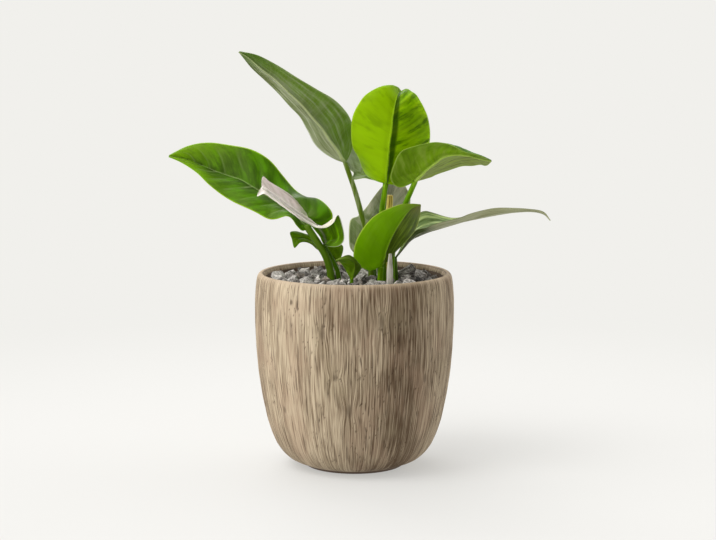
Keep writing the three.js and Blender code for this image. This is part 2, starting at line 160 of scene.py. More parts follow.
def mixed(tree, share, first, second, blend="MIX"):
    made = addNode(tree, "Mix", {0: share, 6: first, 7: second}, data_type="RGBA", blend_type=blend)
    return made.outputs[2]


def noiseAt(tree, place, scale, detail, roughness=0.55, stretch=(1, 1, 1)):
    stretched = addNode(tree, "VectorMath", {0: place, 1: stretch}, operation="MULTIPLY").outputs[0]
    inputs = {"Vector": stretched, "Scale": scale, "Detail": detail, "Roughness": roughness}
    return addNode(tree, "TexNoise", inputs).outputs["Fac"]


def objectPlace(tree):
    return addNode(tree, "TexCoord").outputs["Object"]


def pointValue(tree, name):
    return addNode(tree, "Attribute", attribute_name=name).outputs["Fac"]


def colourRamp(tree, value, stops):
    made = addNode(tree, "ValToRGB", {"Fac": value})
    ramp = made.color_ramp
    while len(ramp.elements) < len(stops):
        ramp.elements.new(0.5)
    for element, (place, colour) in zip(ramp.elements, stops):
        element.position = place
        element.color = colour
    return made.outputs["Color"]


def bumped(tree, height, strength, distance):
    return addNode(tree, "Bump", {"Strength": strength, "Distance": distance, "Height": height}).outputs[0]


def surfaceShader(tree, colour, roughness, bump):
    return addNode(tree, "BsdfPrincipled", {"Base Color": colour, "Roughness": roughness, "Normal": bump})


def blended(tree, share, first, second):
    return addNode(tree, "MixShader", {0: share, 1: first.outputs[0], 2: second.outputs[0]})


def showShader(tree, shader):
    addNode(tree, "OutputMaterial", {"Surface": shader.outputs[0]})


# Planter: cast in a weathered wood grain, with a smooth rounded lip and a dark inside

planter = {
    "around": 560,  # points round the wall
    "wallStep": 1.8,
    "rounding": 3,  # passes that round the corners of the outline
    "outside": [
        (54, 0), (55.6, 0.5), (56.3, 2), (57.5, 3.2), (63, 4.9), (72, 9), (80, 16), (87, 26), (92, 38),
        (96.5, 52), (102, 78), (106, 105), (108.3, 132), (109.5, 160), (109.5, 185), (108.5, 200),
        (107.3, 209), (106, 213), (104.4, 214.7), (102.5, 215), (100.6, 214.4), (99.1, 212.5), (98.3, 209),
    ],
    "inside": [(98, 200), (98, 185), (97.5, 150), (94, 100), (87, 60), (70, 24), (0, 12)],
    "smoothLip": (215, 209),  # heights where the carving has ended and where it is full
    "smoothFoot": (2, 7),
    "insideEdge": (101.6, 100.2),  # radii between which the lip turns as dark as the inside
    "grainRadius": 105,  # of the drum that the grain is laid out on
    "grainScale": (0.6, 0.022),  # fineness round the wall and down it
    "grainHeight": 0.26,
    "streakScale": (0.14, 0.016),
    "streakHeight": 0.22,
    "crackScale": (0.3, 0.022),
    "crackDepth": 0.6,
    "crackEdge": 0.955,
    "crackPatches": (0.05, 0.02),  # fineness of the patches that cracks come in
    "patchMean": 0.5,
    "patchSwing": 2.2,
    "reliefLimit": 0.35,
    "knots": [  # angle from the front in degrees, height, half-width, half-length
        (-18, 163, 3.0, 9.0),
        (-11, 116, 3.2, 5.0),
        (-3, 80, 4.0, 9.0),
        (45, 110, 3.0, 6.5),
        (15, 176, 3.4, 10.0),
        (-48, 74, 2.6, 5.0),
        (84, 140, 3.5, 7.0),
        (118, 92, 3.0, 8.0),
        (160, 150, 4.0, 9.0),
        (-150, 100, 3.4, 7.0),
        (-110, 160, 3.0, 7.0),
        (-84, 60, 3.2, 6.0),
    ],
    "knotReach": 1.8,
    "knotBend": 1.2,
    "knotDepth": 0.55,
    # Bands of tone round the wall; the dark one at 27 degrees is partly painted shade, on the side the key
    # light misses
    "toneAndShadeBands": [  # angle from the front in degrees, half-width, how much lighter or darker
        (-36, 17, 0.04),
        (27, 14, -0.105),
        (80, 12, 0.03),
        (125, 16, -0.04),
        (-165, 20, 0.03),
        (-110, 14, -0.03),
    ],
    "patterns": {  # scale, detail, roughness and stretch of each noise
        "fine": (1.0, 2, 0.5, (1, 1, 0.03)),
        "streaks": (0.75, 2, 0.5, (1, 1, 0.025)),
        "bands": (0.055, 2, 0.5, (1, 1, 0.2)),
        "dashes": (0.85, 2, 0.5, (1, 1, 0.035)),
        "blotches": (0.022, 3, 0.5, (1, 1, 0.8)),
    },
    "toneShares": (0.5, 0.24, 0.26),  # of the fine grain, the streaks and the bands
    "toneStops": (0.38, 0.48, 0.59),  # tones that are dark, middle and light
    "pinkRange": (0.5, 0.68, 0, 0.35),  # where a blotch begins and is full, and how clearly it shows at each
    "greenRange": (0.46, 0.32, 0, 0.3),
    "dashRange": (0.42, 0.35, 0, 0.65),
    "grooveRange": (0.1, 0.8, 0, 0.7),
    "lipRange": (0.54, 0.4, 0, 0.9),
    "light": screenColour(190, 173, 147),
    "middle": screenColour(148, 131, 108),
    "dark": screenColour(92, 74, 55),
    "groove": screenColour(66, 50, 36),
    "pink": screenColour(158, 132, 110),
    "green": screenColour(150, 137, 110),
    "lip": screenColour(170, 152, 130),
    "insideColour": screenColour(92, 75, 62),
    "roughnessRange": (0.35, 0.65, 0.9, 0.78),
    "specular": 0.25,
    "streakBump": 0.6,
    "bump": (0.55, 0.0006),  # strength, and depth in metres
    "insideStain": (22, 2, 0.5, (1, 1, 0.4)),
    "insideDust": 1.7,  # how much lighter than the rest its stains are
}


def wallProfile():
    outside = np.array(planter["outside"], float)
    length = np.concatenate([[0], np.cumsum(np.linalg.norm(np.diff(outside, axis=0), axis=1))])
    steps = int(length[-1] / planter["wallStep"])
    even = np.linspace(0, length[-1], steps)
    wall = np.stack([np.interp(even, length, outside[:, k]) for k in (0, 1)], -1)
    for _ in range(planter["rounding"]):  # keeps both ends
        wall[1:-1] = (wall[:-2] + 2 * wall[1:-1] + wall[2:]) / 4
    return wall, even


def grainPlaces(angles, heights):
    # Place of each point in the grain, turned aside round the knots
    turned = angles.copy()
    knotMark = np.zeros_like(angles)
    for degrees, height, halfWidth, halfLength in planter["knots"]:
        away = (angles - math.radians(degrees) + math.pi) % (2 * math.pi) - math.pi
        across = away * planter["grainRadius"] / halfWidth
        along = (heights - height) / halfLength
        nearness = np.exp(-(across**2 / planter["knotReach"] ** 2 + along**2) / 2)
        aside = halfWidth / planter["grainRadius"] * planter["knotBend"] * (1 - np.exp(-(across**2)))
        turned += np.sign(across) * nearness * aside
        knotMark = np.maximum(knotMark, np.exp(-((across**2 + along**2) ** 2)))
    return turned, knotMark


def noiseOnWall(place, scale, shift=(0, 0, 0)):
    around, down = scale
    scaled = (place[0] * around, place[1] * around, place[2] * down)
    return noise.noise(Vector([part + step for part, step in zip(scaled, shift)]))


def wallRelief(places, knotMark, level):
    # Raised grain, broader streaks and cracks that run down the wall
    relief = np.zeros(len(places))
    groove = np.zeros(len(places))
    edge = planter["crackEdge"]
    for i, place in enumerate(places):
        grain = noiseOnWall(place, planter["grainScale"])
        streak = noiseOnWall(place, planter["streakScale"], (7, 0, 0))
        crack = 1 - abs(noiseOnWall(place, planter["crackScale"], (0, 31, 0)))
        patch = noiseOnWall(place, planter["crackPatches"], (0, 0, 50))
        patch = planter["patchMean"] + planter["patchSwing"] * patch
        relief[i] = planter["grainHeight"] * grain + planter["streakHeight"] * streak
        groove[i] = max(crack - edge, 0) / (1 - edge) * min(max(patch, 0), 1)
    groove = np.maximum(groove, planter["knotDepth"] * knotMark)
    relief -= planter["crackDepth"] * groove
    return np.minimum(relief, planter["reliefLimit"]) * level, groove * level


def wallToneAndShade(angles):
    # Broad bands down the wall that are lighter or darker than the rest; the dark one at 27 degrees is partly
    # painted shade, where the key light falls off
    change = np.zeros_like(angles)
    for degrees, halfWidth, shift in planter["toneAndShadeBands"]:
        away = (np.degrees(angles) - degrees + 180) % 360 - 180
        change += shift * np.exp(-((away / halfWidth) ** 2) / 2)
    return change


def planterMaterial():
    material, tree = newMaterial("weatheredWoodCast")
    place = addNode(tree, "Attribute", attribute_name="grainPlace").outputs["Vector"]
    carved = pointValue(tree, "carved")
    patterns = planter["patterns"].values()
    fine, streaks, bands, dashes, blotches = [noiseAt(tree, place, *pattern) for pattern in patterns]

    # The tone starts from the wall's bands, one of them partly painted shade
    tone = pointValue(tree, "toneAndShadeBands")
    for pattern, share in zip((fine, streaks, bands), planter["toneShares"]):
        tone = calc(tree, "MULTIPLY_ADD", pattern, share, tone)
    colours = (planter["dark"], planter["middle"], planter["light"])
    wall = colourRamp(tree, tone, list(zip(planter["toneStops"], colours)))
    wall = mixed(tree, fade(tree, blotches, *planter["pinkRange"]), wall, planter["pink"])
    wall = mixed(tree, fade(tree, blotches, *planter["greenRange"]), wall, planter["green"])
    wall = mixed(tree, fade(tree, dashes, *planter["dashRange"]), wall, planter["groove"])
    groove = fade(tree, pointValue(tree, "groove"), *planter["grooveRange"])
    wall = mixed(tree, groove, wall, planter["groove"])
    lip = mixed(tree, fade(tree, tone, *planter["lipRange"]), planter["lip"], planter["middle"])
    outside = mixed(tree, carved, lip, wall)
    fromAxis = addNode(tree, "VectorMath", {0: objectPlace(tree), 1: (1, 1, 0)}, operation="MULTIPLY")
    radius = addNode(tree, "VectorMath", {0: fromAxis.outputs[0]}, operation="LENGTH").outputs["Value"]
    turnsIn = fade(tree, radius, *[edge * mm for edge in planter["insideEdge"]])
    turnsIn = times(tree, turnsIn, fade(tree, carved, 0.5, 0.0))
    outside = mixed(tree, turnsIn, outside, planter["insideColour"])

    height = calc(tree, "MULTIPLY_ADD", streaks, planter["streakBump"], fine)
    bump = bumped(tree, times(tree, height, carved), *planter["bump"])
    shader = surfaceShader(tree, outside, fade(tree, tone, *planter["roughnessRange"]), bump)
    shader.inputs["Specular IOR Level"].default_value = planter["specular"]
    showShader(tree, shader)
    return material


def insideMaterial():
    material, tree = newMaterial("planterInside")
    place = objectPlace(tree)
    stain = noiseAt(tree, place, *planter["insideStain"])
    dusty = tuple(min(part * planter["insideDust"], 1) for part in planter["insideColour"][:3]) + (1,)
    colour = mixed(tree, fade(tree, stain, 0.35, 0.7, 0, 0.6), planter["insideColour"], dusty)
    bump = bumped(tree, noiseAt(tree, place, 260, 3), 0.3, 0.0005)
    showShader(tree, surfaceShader(tree, colour, 0.85, bump))
    return material


def buildPlanter():
    wall, along = wallProfile()
    around = planter["around"]
    angles = np.linspace(-math.pi, math.pi, around, endpoint=False)
    inside = np.array(planter["inside"][:-1], float)
    rows = np.vstack([wall, inside])
    radius = np.repeat(rows[:, 0], around)
    height = np.repeat(rows[:, 1], around)
    angle = np.tile(angles, len(rows))
    turned, knotMark = grainPlaces(angle, height)
    down = np.repeat(np.concatenate([along, along[-1] + np.arange(1, len(inside) + 1)]), around)
    drum = planter["grainRadius"]
    places = np.stack([drum * np.sin(turned), -drum * np.cos(turned), down], -1)

    outer = np.repeat(np.arange(len(rows)) < len(wall), around)
    level = smoothStep(*planter["smoothLip"], height) * smoothStep(*planter["smoothFoot"], height) * outer
    relief, groove = wallRelief(places, knotMark, level)
    slope = np.gradient(rows, axis=0)
    outward = unit(np.stack([slope[:, 1], -slope[:, 0]], -1))
    radius = radius + relief * np.repeat(outward[:, 0], around)
    height = height + relief * np.repeat(outward[:, 1], around)
    height = np.maximum(height, 0)
    points = np.stack([radius * np.sin(angle), -radius * np.cos(angle), height], -1)

    faces = []
    top = (len(rows) - 1) * around
    for low in range(0, top, around):
        for j in range(around):
            k = (j + 1) % around
            faces.append((low + j, low + k, low + around + k, low + around + j))
    kinds = [int(i >= len(wall) - 1) for i in range(len(rows) - 1) for _ in range(around)]
    foot, floor = len(points), len(points) + 1
    points = np.vstack([points, [[0, 0, 0], [0, 0, planter["inside"][-1][1]]]])
    for j in range(around):
        k = (j + 1) % around
        faces += [(foot, k, j), (floor, top + j, top + k)]
        kinds += [0, 1]
    made = meshObject("planterBody", points, faces, [planterMaterial(), insideMaterial()], kinds)
    pointPlaces(made, "grainPlace", np.vstack([places, [[0, 0, 0], [0, 0, 0]]]))
    pointValues(made, "groove", np.append(groove, [0, 0]))
    pointValues(made, "carved", np.append(level, [0, 0]))
    pointValues(made, "toneAndShadeBands", np.append(wallToneAndShade(angle), [0, 0]))
    dress(made, "planter_finish", "planter")
    print("planter:", len(faces), "faces")


# Gravel: broken grey stone, loose in two layers on a bed of grit

gravel = {
    "seed": 5,
    "bedTop": 200.5,
    "bedFoot": 191,
    "bedRadius": 97.2,
    "stoneFoot": 190.6,
    "limitRadius": 95.5,
    "edgeGap": 0.8,  # share of the largest half-length that a stone stays inside it
    "throws": 9000,
    "under": {"spacing": 11.0, "height": (199.5, 203.5), "half": (5.2, 7.6)},
    "over": {"spacing": 12.5, "height": (203.5, 208.5), "half": (5.4, 9.4)},
    "corners": 13,
    "cornerReach": (0.78, 1.0),
    "cornerPull": 0.22,  # how far the corners of the block are drawn in
    "worn": 0.2,
    "flatAngle": 0.25,  # faces that meet at less become one
    "widths": (0.65, 0.9),  # shares of a stone's half-length
    "thicknesses": (0.5, 0.8),
    "lean": 0.7,
    "pickedLean": 0.3,
    "tones": (0.1, 1, 0.55),  # darkest, lightest and most common
    "stemGap": 5.5,
    "picked": [  # stones that stand out: place, half-lengths, turn about the vertical, tone
        ((-84, 4, 208.5), (10, 7, 8), 20, 0.86),
        ((-66, -14, 206.5), (9, 7, 6), 60, 0.62),
        ((-52, -34, 207), (9.5, 7, 6), 10, 0.72),
        ((-60, 12, 208), (8, 6, 6), 100, 0.3),
        ((-40, -46, 207), (9, 6, 6), 40, 0.8),
        ((56, 26, 214), (14, 11, 11), 15, 0.55),
        ((70, 6, 208.5), (10, 8, 7), 70, 0.5),
        ((42, -62, 207.5), (9, 6, 7), 75, 0.92),
        ((22, -56, 206), (15, 8, 6), 5, 0.6),
        ((4, -60, 206), (9, 7, 5), 30, 0.52),
        ((60, -44, 207), (10, 8, 6), 30, 0.66),
        ((82, -20, 206), (7, 6, 5), 0, 0.4),
    ],
    "dark": screenColour(40, 37, 35),
    "middle": screenColour(118, 113, 108),
    "light": screenColour(214, 209, 202),
    "warm": screenColour(158, 142, 124),
    "warmRange": (0.52, 0.7, 0, 0.4),
    "toneStops": (0.08, 0.5, 0.95),  # tones that are dark, middle and light
    "patterns": {
        "speckle": (900, 3, 0.7),
        "layers": (260, 3, 0.6, (1, 0.6, 1.8)),
        "stains": (45, 2),
    },
    "layerShare": 1.2,
    "speckleShare": 1.6,
    "bump": (0.9, 0.0012),
    "roughness": 0.88,
}

grit = {
    "rings": 34,
    "around": 120,
    "rise": 1.6,
    "riseScale": 0.35,
    "crumbs": (700, 3, 0.7),
    "stops": [(0.35, screenColour(38, 34, 30)), (0.7, screenColour(96, 90, 83))],
    "bump": (0.8, 0.001),
    "roughness": 0.95,
}


def gravelMaterial():
    material, tree = newMaterial("brokenStone")
    place = objectPlace(tree)
    speckle, layers, stains = [noiseAt(tree, place, *pattern) for pattern in gravel["patterns"].values()]
    tone = pointValue(tree, "stoneTone")
    for pattern, share in ((layers, gravel["layerShare"]), (speckle, gravel["speckleShare"])):
        tone = calc(tree, "MULTIPLY_ADD", calc(tree, "SUBTRACT", pattern, 0.5), share, tone)
    colours = (gravel["dark"], gravel["middle"], gravel["light"])
    grey = colourRamp(tree, tone, list(zip(gravel["toneStops"], colours)))
    stained = mixed(tree, fade(tree, stains, *gravel["warmRange"]), grey, gravel["warm"])
    bump = bumped(tree, calc(tree, "ADD", speckle, layers), *gravel["bump"])
    showShader(tree, surfaceShader(tree, stained, gravel["roughness"], bump))
    return material


def stoneShape(rng, halves, turn):
    # Hull of a few points near the skin of a block, with its edges worn a little
    shape = bmesh.new()
    for _ in range(gravel["corners"]):
        spot = Vector([rng.uniform(-1, 1) for _ in range(3)])
        longest = max(abs(part) for part in spot)
        spot *= rng.uniform(*gravel["cornerReach"]) / longest
        spot *= 1 - gravel["cornerPull"] * (spot.length - 1)
        shape.verts.new(Vector(a * b for a, b in zip(spot, halves)))
    result = bmesh.ops.convex_hull(shape, input=shape.verts)
    loose = [part for part in result["geom_interior"] if isinstance(part, bmesh.types.BMVert)]
    bmesh.ops.delete(shape, geom=loose, context="VERTS")
    bmesh.ops.dissolve_limit(shape, angle_limit=gravel["flatAngle"], verts=shape.verts, edges=shape.edges)
    worn = gravel["worn"] * min(halves) / 4
    bmesh.ops.bevel(shape, geom=shape.edges[:], offset=worn, segments=1, affect="EDGES")
    bmesh.ops.rotate(shape, verts=shape.verts, matrix=turn)
    shape.verts.index_update()
    places = np.array([vert.co for vert in shape.verts])
    faces = [[vert.index for vert in face.verts] for face in shape.faces]
    shape.free()
    return places, faces


def spreadStones(rng, layer, stems):
    # Spots at least a spacing apart, thrown at random until no more fit, and clear of the stems
    spots = []
    for _ in range(gravel["throws"]):
        radius = gravel["limitRadius"] * math.sqrt(rng.random())
        angle = rng.uniform(0, 2 * math.pi)
        spot = (radius * math.cos(angle), radius * math.sin(angle))
        if radius > gravel["limitRadius"] - layer["half"][1] * gravel["edgeGap"]:
            continue
        if any(math.dist(spot, other) < layer["spacing"] for other in spots):
            continue
        if any(math.dist(spot, stem) < gravel["stemGap"] + layer["half"][0] for stem in stems):
            continue
        spots.append(spot)
    return spots


def crumbMaterial(name, look):
    # Loose dark crumbs, for the grit and the potting mix
    material, tree = newMaterial(name)
    crumbs = noiseAt(tree, objectPlace(tree), *look["crumbs"])
    colour = colourRamp(tree, crumbs, look["stops"])
    bump = bumped(tree, crumbs, *look["bump"])
    showShader(tree, surfaceShader(tree, colour, look["roughness"], bump))
    return material


def buildGravel(stems):
    rng = random.Random(gravel["seed"])
    points, faces, tones = [], [], []

    def lay(spot, halves, turn, tone):
        places, sides = stoneShape(rng, halves, turn)
        places = places + np.array(spot)
        reach = np.hypot(places[:, 0], places[:, 1])
        places[:, :2] *= np.minimum(1, gravel["bedRadius"] / np.maximum(reach, 1))[:, None]
        places[:, 2] = np.maximum(places[:, 2], gravel["stoneFoot"])
        start = sum(len(part) for part in points)
        points.append(places)
        faces.extend([[start + index for index in side] for side in sides])
        tones.extend([tone] * len(places))

    for name in ("under", "over"):
        layer = gravel[name]
        for x, y in spreadStones(rng, layer, stems):
            if any(math.dist((x, y), stone[0][:2]) < stone[1][0] for stone in gravel["picked"]):
                continue
            half = rng.uniform(*layer["half"])
            halves = (half, half * rng.uniform(*gravel["widths"]), half * rng.uniform(*gravel["thicknesses"]))
            turn = Matrix.Rotation(rng.uniform(0, 2 * math.pi), 3, "Z")
            for axis in "XY":
                turn = turn @ Matrix.Rotation(rng.uniform(-gravel["lean"], gravel["lean"]), 3, axis)
            lay((x, y, rng.uniform(*layer["height"])), halves, turn, rng.triangular(*gravel["tones"]))
    for place, halves, degrees, tone in gravel["picked"]:
        lean = rng.uniform(-gravel["pickedLean"], gravel["pickedLean"])
        turn = Matrix.Rotation(math.radians(degrees), 3, "Z") @ Matrix.Rotation(lean, 3, "X")
        lay(place, halves, turn, tone)

    stones = meshObject("gravelStones", np.vstack(points), faces, [gravelMaterial()], smooth=False)
    pointValues(stones, "stoneTone", tones)
    dress(stones, "gravel", "gravel")
    buildGrit()
    print("gravel:", len(tones), "corners")


def buildGrit():
    # Dark grit between and below the stones
    rings, around = grit["rings"], grit["around"]
    points, faces = [[0, 0, gravel["bedTop"]]], []
    for i in range(1, rings + 1):
        radius = gravel["bedRadius"] * i / rings
        for j in range(around):
            angle = 2 * math.pi * j / around
            x, y = radius * math.cos(angle), radius * math.sin(angle)
            rough = noise.noise(Vector((x * grit["riseScale"], y * grit["riseScale"], 3)))
            points.append([x, y, gravel["bedTop"] + grit["rise"] * rough])
    at = lambda i, j: 1 + (i - 1) * around + j % around
    for j in range(around):
        faces.append((0, at(1, j), at(1, j + 1)))
    for i in range(1, rings):
        for j in range(around):
            faces.append((at(i, j), at(i + 1, j), at(i + 1, j + 1), at(i, j + 1)))
    rim = [at(rings, j) for j in range(around)]
    low = len(points)
    points += [[points[k][0], points[k][1], gravel["bedFoot"]] for k in rim]
    for j in range(around):
        k = (j + 1) % around
        faces.append((rim[j], low + j, low + k, rim[k]))
    faces.append(tuple(low + j for j in reversed(range(around))))
    dress(meshObject("gravelGrit", points, faces, [crumbMaterial("grit", grit)]), "gravel", "gravel")


# Potting mix under the gravel keeps its CAD shape

soil = {
    "crumbs": (420, 4, 0.7),
    "stops": [(0.35, screenColour(30, 22, 16)), (0.65, screenColour(74, 56, 42))],
    "bump": (0.9, 0.0015),
    "roughness": 0.97,
}


def dressSoil():
    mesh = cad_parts["soil"].data
    mesh.materials.clear()
    mesh.materials.append(crumbMaterial("pottingMix", soil))


# Foliage. Each leaf is one thin skin: a petiole that widens into a blade, which is spanned by three
# lines from its base to its tip, the midrib with a margin on each side.
# Side 0 lies left of the midrib, seen from above the upper face with the tip pointing away.
# A pair of values is for side 0 and side 1, unless the list says otherwise.
#   stem      radius of the petiole at its foot and at the blade
#   petiole   points of its middle, from the foot up; the next one is the blade's base
#   stations  points of the lines abreast of each other: margin of side 0, midrib, margin of side 1
#   bulge     how far each side rises halfway between midrib and margin, from base to tip
#   wave      height and number of the margins' waves
#   veins     number of side veins, how far they climb, how much they bow, their relief and how clearly
#             they show
#   upper, under    colours of each face
#   rib, ribShow    colour of the midrib and the side veins, and how clearly the midrib shows
#   margin, stalk   colours of the thin edge and of the petiole
#   through, glow   colour of the light that passes through, and how much does
#   upperThrough    that colour on the upper face, where it differs
#   streaks   colour of the pale streaks on the under face, which are partly painted sheen
#   veinwise, lengthwise    how clearly they show along the side veins and along the blade
#   fineness  of the streaks along the blade
#   tipward   face that changes colour towards the tip, from where to where, to which, and how much
#   ribShade  how dark the painted shade next to the raised midrib is
#   beside    face with a band of another colour along the midrib: which, how wide, how clear per side

blade = {
    "rows": 120,
    "halfColumns": 28,
    "crowding": 1.35,  # how much closer the columns stand near the midrib
    "petioleRows": 26,
    "firstRow": 0.012,
    "lastRow": 0.992,
    "petioleSpan": 0.2,  # length of the petiole in the measure that runs from 0 to 1 on the blade
    "thickness": 0.62,
    "edgeThickness": 0.34,
    "keelDepth": 1.9,
    "keelAbove": 0.28,  # share of it that dents the upper face
    "keelFlattening": 0.75,
    "keelHalfWidth": 1.15,
    "keelAtBase": 1.15,
    "keelTaper": 0.8,
    "grooveDepth": 0.16,
    "grooveAngle": 0.5,
    "waveShift": 0.37,  # of the second margin's wave against the first's
    "quilting": 0.8,  # the lower, the flatter the blade between side veins
    "fullRelief": 12,  # width from which the relief is full
    "wander": [(7.0, 2.0, 0.1), (17.0, 0.0, 0.06)],  # sway of the side veins: along, across, how far
    "leastWidth": 0.9,
    "edgeAngle": 0.2,
}

bladeFinish = {
    "patterns": {  # scale, detail, roughness and stretch of each noise
        "broad": (30, 2, 0.5),
        "mottle": (90, 3, 0.6),
        "fibres": (260, 2, 0.5, (1, 1, 0.05)),
        "pores": (1500, 2, 0.6),
    },
    "blotchAndShade": (0.62, 0.6, 0.36, 1),  # what the face's colour is multiplied by in its deeper blotches and in the painted shade along the side veins,
    "darkest": (0.38, 0.42, 0.24, 1),  # in its dark streaks, which are partly painted shade,
    "ribShadeTint": (0.3, 0.34, 0.3, 1),  # and in the painted shade beside the raised midrib
    "held": (0.28, 0.36, 0.2, 1),  # the same for the light that passes through such places
    "veinwise": (1.7, 4, 0.6),  # noise of the streaks along the side veins
    "lengthwise": (1.6, 4, 0.65),  # and along the blade
    "paleRange": (0.48, 0.64),
    "darkRange": (0.5, 0.34),
    "upperStreaksAndSheen": 1.55,  # how much lighter than the face the streaks of the upper face are; they are partly painted sheen
    "fineVeins": 7,  # between two side veins
    "marginBand": (0.955, 0.985),
    "marginShow": 0.75,
    "bump": (0.2, 0.0002),
    "gloss": {"upper": (0.34, 0.48), "under": (0.36, 0.5)},
    "specular": {"upper": 0.26, "under": 0.22},
    "specularTint": (0.9, 1, 0.35, 1),
}

plainLeaf = {  # holds where a leaf says nothing else
    "ribShow": 0.32,
    "ribShade": (0.2, 0.2),
    "beside": None,
    "upperThrough": None,
    "veinwise": (0, 0),
    "lengthwise": (0, 0),
    "fineness": 7,
}

leafUpperLeft = {
    **plainLeaf,
    "name": "leaf_upper_left",
    "slot": "leaf_grey_green",
    "stem": (3.6, 2.6),
    "petiole": [(20, 8, 180), (18, 8, 218), (13, 10, 254), (2, 9, 298)],
    "base": (-10, 3, 334),
    "stations": [
        [(-6, 7, 340), (-14, 0, 340), (-20, 12, 337)],
        [(-2, 6, 351), (-19, -4, 349), (-34, 15, 345)],
        [(-2, 1, 366), (-27, -9, 360), (-45, 13, 355)],
        [(-3, -9, 379), (-35, -15, 373), (-52, 8, 370)],
        [(-10, -21, 392), (-45, -24, 385), (-59, -3, 386)],
        [(-23, -34, 406), (-56, -33, 399), (-72, -16, 399)],
        [(-41, -46, 417), (-70, -42, 413), (-86, -27, 414)],
        [(-62, -57, 429), (-84, -51, 427), (-99, -41, 429)],
        [(-83, -66, 443), (-99, -61, 439), (-110, -55, 441)],
        [(-102, -73, 453), (-111, -69, 450), (-117, -67, 450)],
    ],
    "tip": (-121, -76, 456),
    "bulge": [(0, 2, 3, 3, 2, 1), (0, 1, 2, 2, 1, 0)],
    "wave": (1.2, 3),
    "veins": {"count": 8, "climb": 0.13, "bow": 1.15, "relief": (0.6, 0.4), "show": (0.15, 0.45)},
    "upper": [(70, 112, 30)] * 2,
    "under": [(116, 146, 54), (160, 168, 126)],
    "rib": (186, 198, 140),
    "ribShow": 0.55,
    "margin": (190, 205, 150),
    "stalk": (84, 108, 22),
    "through": (136, 176, 20),
    # Whitish streaks: partly painted sheen
    "streaks": (210, 212, 186),
    "veinwise": (0.15, 0.3),
    "lengthwise": (0.3, 1.0),
    "fineness": 5,
    "tipward": ("under", 0.7, 1.0, (80, 124, 20), 0.75),
    "ribShade": (0.25, 0.1),
    "beside": ("under", (180, 182, 154), 0.4, 0.35, 0.55),
    "glow": (0.28, 0.28),
}

leafUpright = {
    **plainLeaf,
    "name": "leaf_upright",
    "slot": "leaf_young",
    "stem": (3.8, 3.0),
    "petiole": [(32, -6, 180), (31, -7, 226), (29, -10, 255), (30, -14, 284)],
    "base": (34, -18, 313),
    "stations": [
        [(44, -12, 312), (35, -20, 317), (25, -8, 315)],
        [(57, -8, 317), (35, -25, 325), (14, 2, 320)],
        [(69, -8, 327), (36, -29, 335), (8, 3, 329)],
        [(78, -11, 342), (37, -33, 349), (4, -8, 342)],
        [(81, -15, 357), (38, -36, 361), (-2, -16, 354)],
        [(81, -19, 372), (40, -38, 374), (-4, -22, 370)],
        [(79, -22, 386), (41, -37, 386), (-2, -28, 386)],
        [(75, -25, 395), (43, -34, 397), (4, -32, 399)],
        [(70, -24, 403), (45, -29, 405), (12, -32, 410)],
        [(66, -18, 410), (47, -21, 410), (24, -28, 417)],
        [(61, -9, 413), (49, -10, 411), (37, -18, 419)],
        [(57, 4, 414), (51, 3, 409), (46, -4, 415)],
    ],
    "tip": (53, 16, 404),
    "bulge": [(0, -3, -4, -4, -3, -1), (0, -5, -4, -4, -4, -1)],
    "wave": (1, 4),
    "veins": {"count": 12, "climb": 0.16, "bow": 1.0, "relief": (0.7, 0.14), "show": (0.9, 0.15)},
    # Side 0 is the half turned from the light: its darker under colour is partly painted shade, and its dark
    # crease lines in rib colour and the strong darkening beside the midrib are painted shade
    "upper": [(120, 170, 20), (110, 160, 20)],
    "under": [(116, 164, 0), (148, 190, 0)],
    "rib": (58, 98, 0),
    "margin": (190, 220, 60),
    "stalk": (78, 118, 0),
    "through": (200, 224, 0),
    "streaks": (172, 206, 16),
    "veinwise": (0.8, 0.3),
    "tipward": ("under", 0.82, 1.0, (140, 160, 70), 0.5),
    "ribShade": (1.0, 0.1),
    "glow": (0.5, 0.5),
}

leafUpperRight = {
    **plainLeaf,
    "name": "leaf_upper_right",
    "slot": "leaf_mature",
    "stem": (3.6, 2.8),
    "petiole": [(43, -4, 180), (41, -5, 226), (44, -13, 255), (53, -27, 287)],
    "base": (65, -37, 317),
    "stations": [
        [(76, -30, 319), (70, -42, 323), (50, -27, 310)],
        [(82, -28, 321), (73, -45, 326), (41, -29, 315)],
        [(89, -30, 325), (76, -49, 330), (39, -37, 325)],
        [(107, -40, 331), (87, -60, 340), (47, -58, 348)],
        [(116, -48, 334), (93, -66, 345), (57, -70, 356)],
        [(123, -55, 336), (101, -73, 348), (71, -82, 360)],
        [(129, -62, 337), (111, -78, 349), (86, -91, 362)],
        [(133, -69, 337), (120, -82, 348), (101, -97, 360)],
        [(137, -76, 337), (128, -86, 346), (116, -98, 353)],
        [(140, -84, 339), (136, -88, 344), (130, -95, 349)],
    ],
    "tip": (143, -90, 343),
    "bulge": [(0, 3, 4, 4, 3, 1), (0, 5, 4, 3, 3, 1)],
    "wave": (1, 3),
    "veins": {"count": 9, "climb": 0.36, "bow": 1.2, "relief": (0.4, 0.5), "show": (0.2, 0.15)},
    "upper": [(80, 120, 40)] * 2,
    "under": [(172, 182, 116), (124, 162, 24)],
    "rib": (165, 190, 90),
    "ribShow": 0.6,
    "margin": (175, 200, 90),
    "stalk": (92, 136, 0),
    "through": (130, 180, 0),
    "streaks": (170, 190, 84),
    "veinwise": (0.1, 0.45),
    "lengthwise": (0.9, 0.12),
    "tipward": ("under", 0.6, 1.0, (150, 158, 108), 0.5),
    "ribShade": (0.2, 0.3),
    "beside": ("under", (142, 186, 12), 0.6, 0, 0.75),
    "glow": (0.32, 0.32),
}

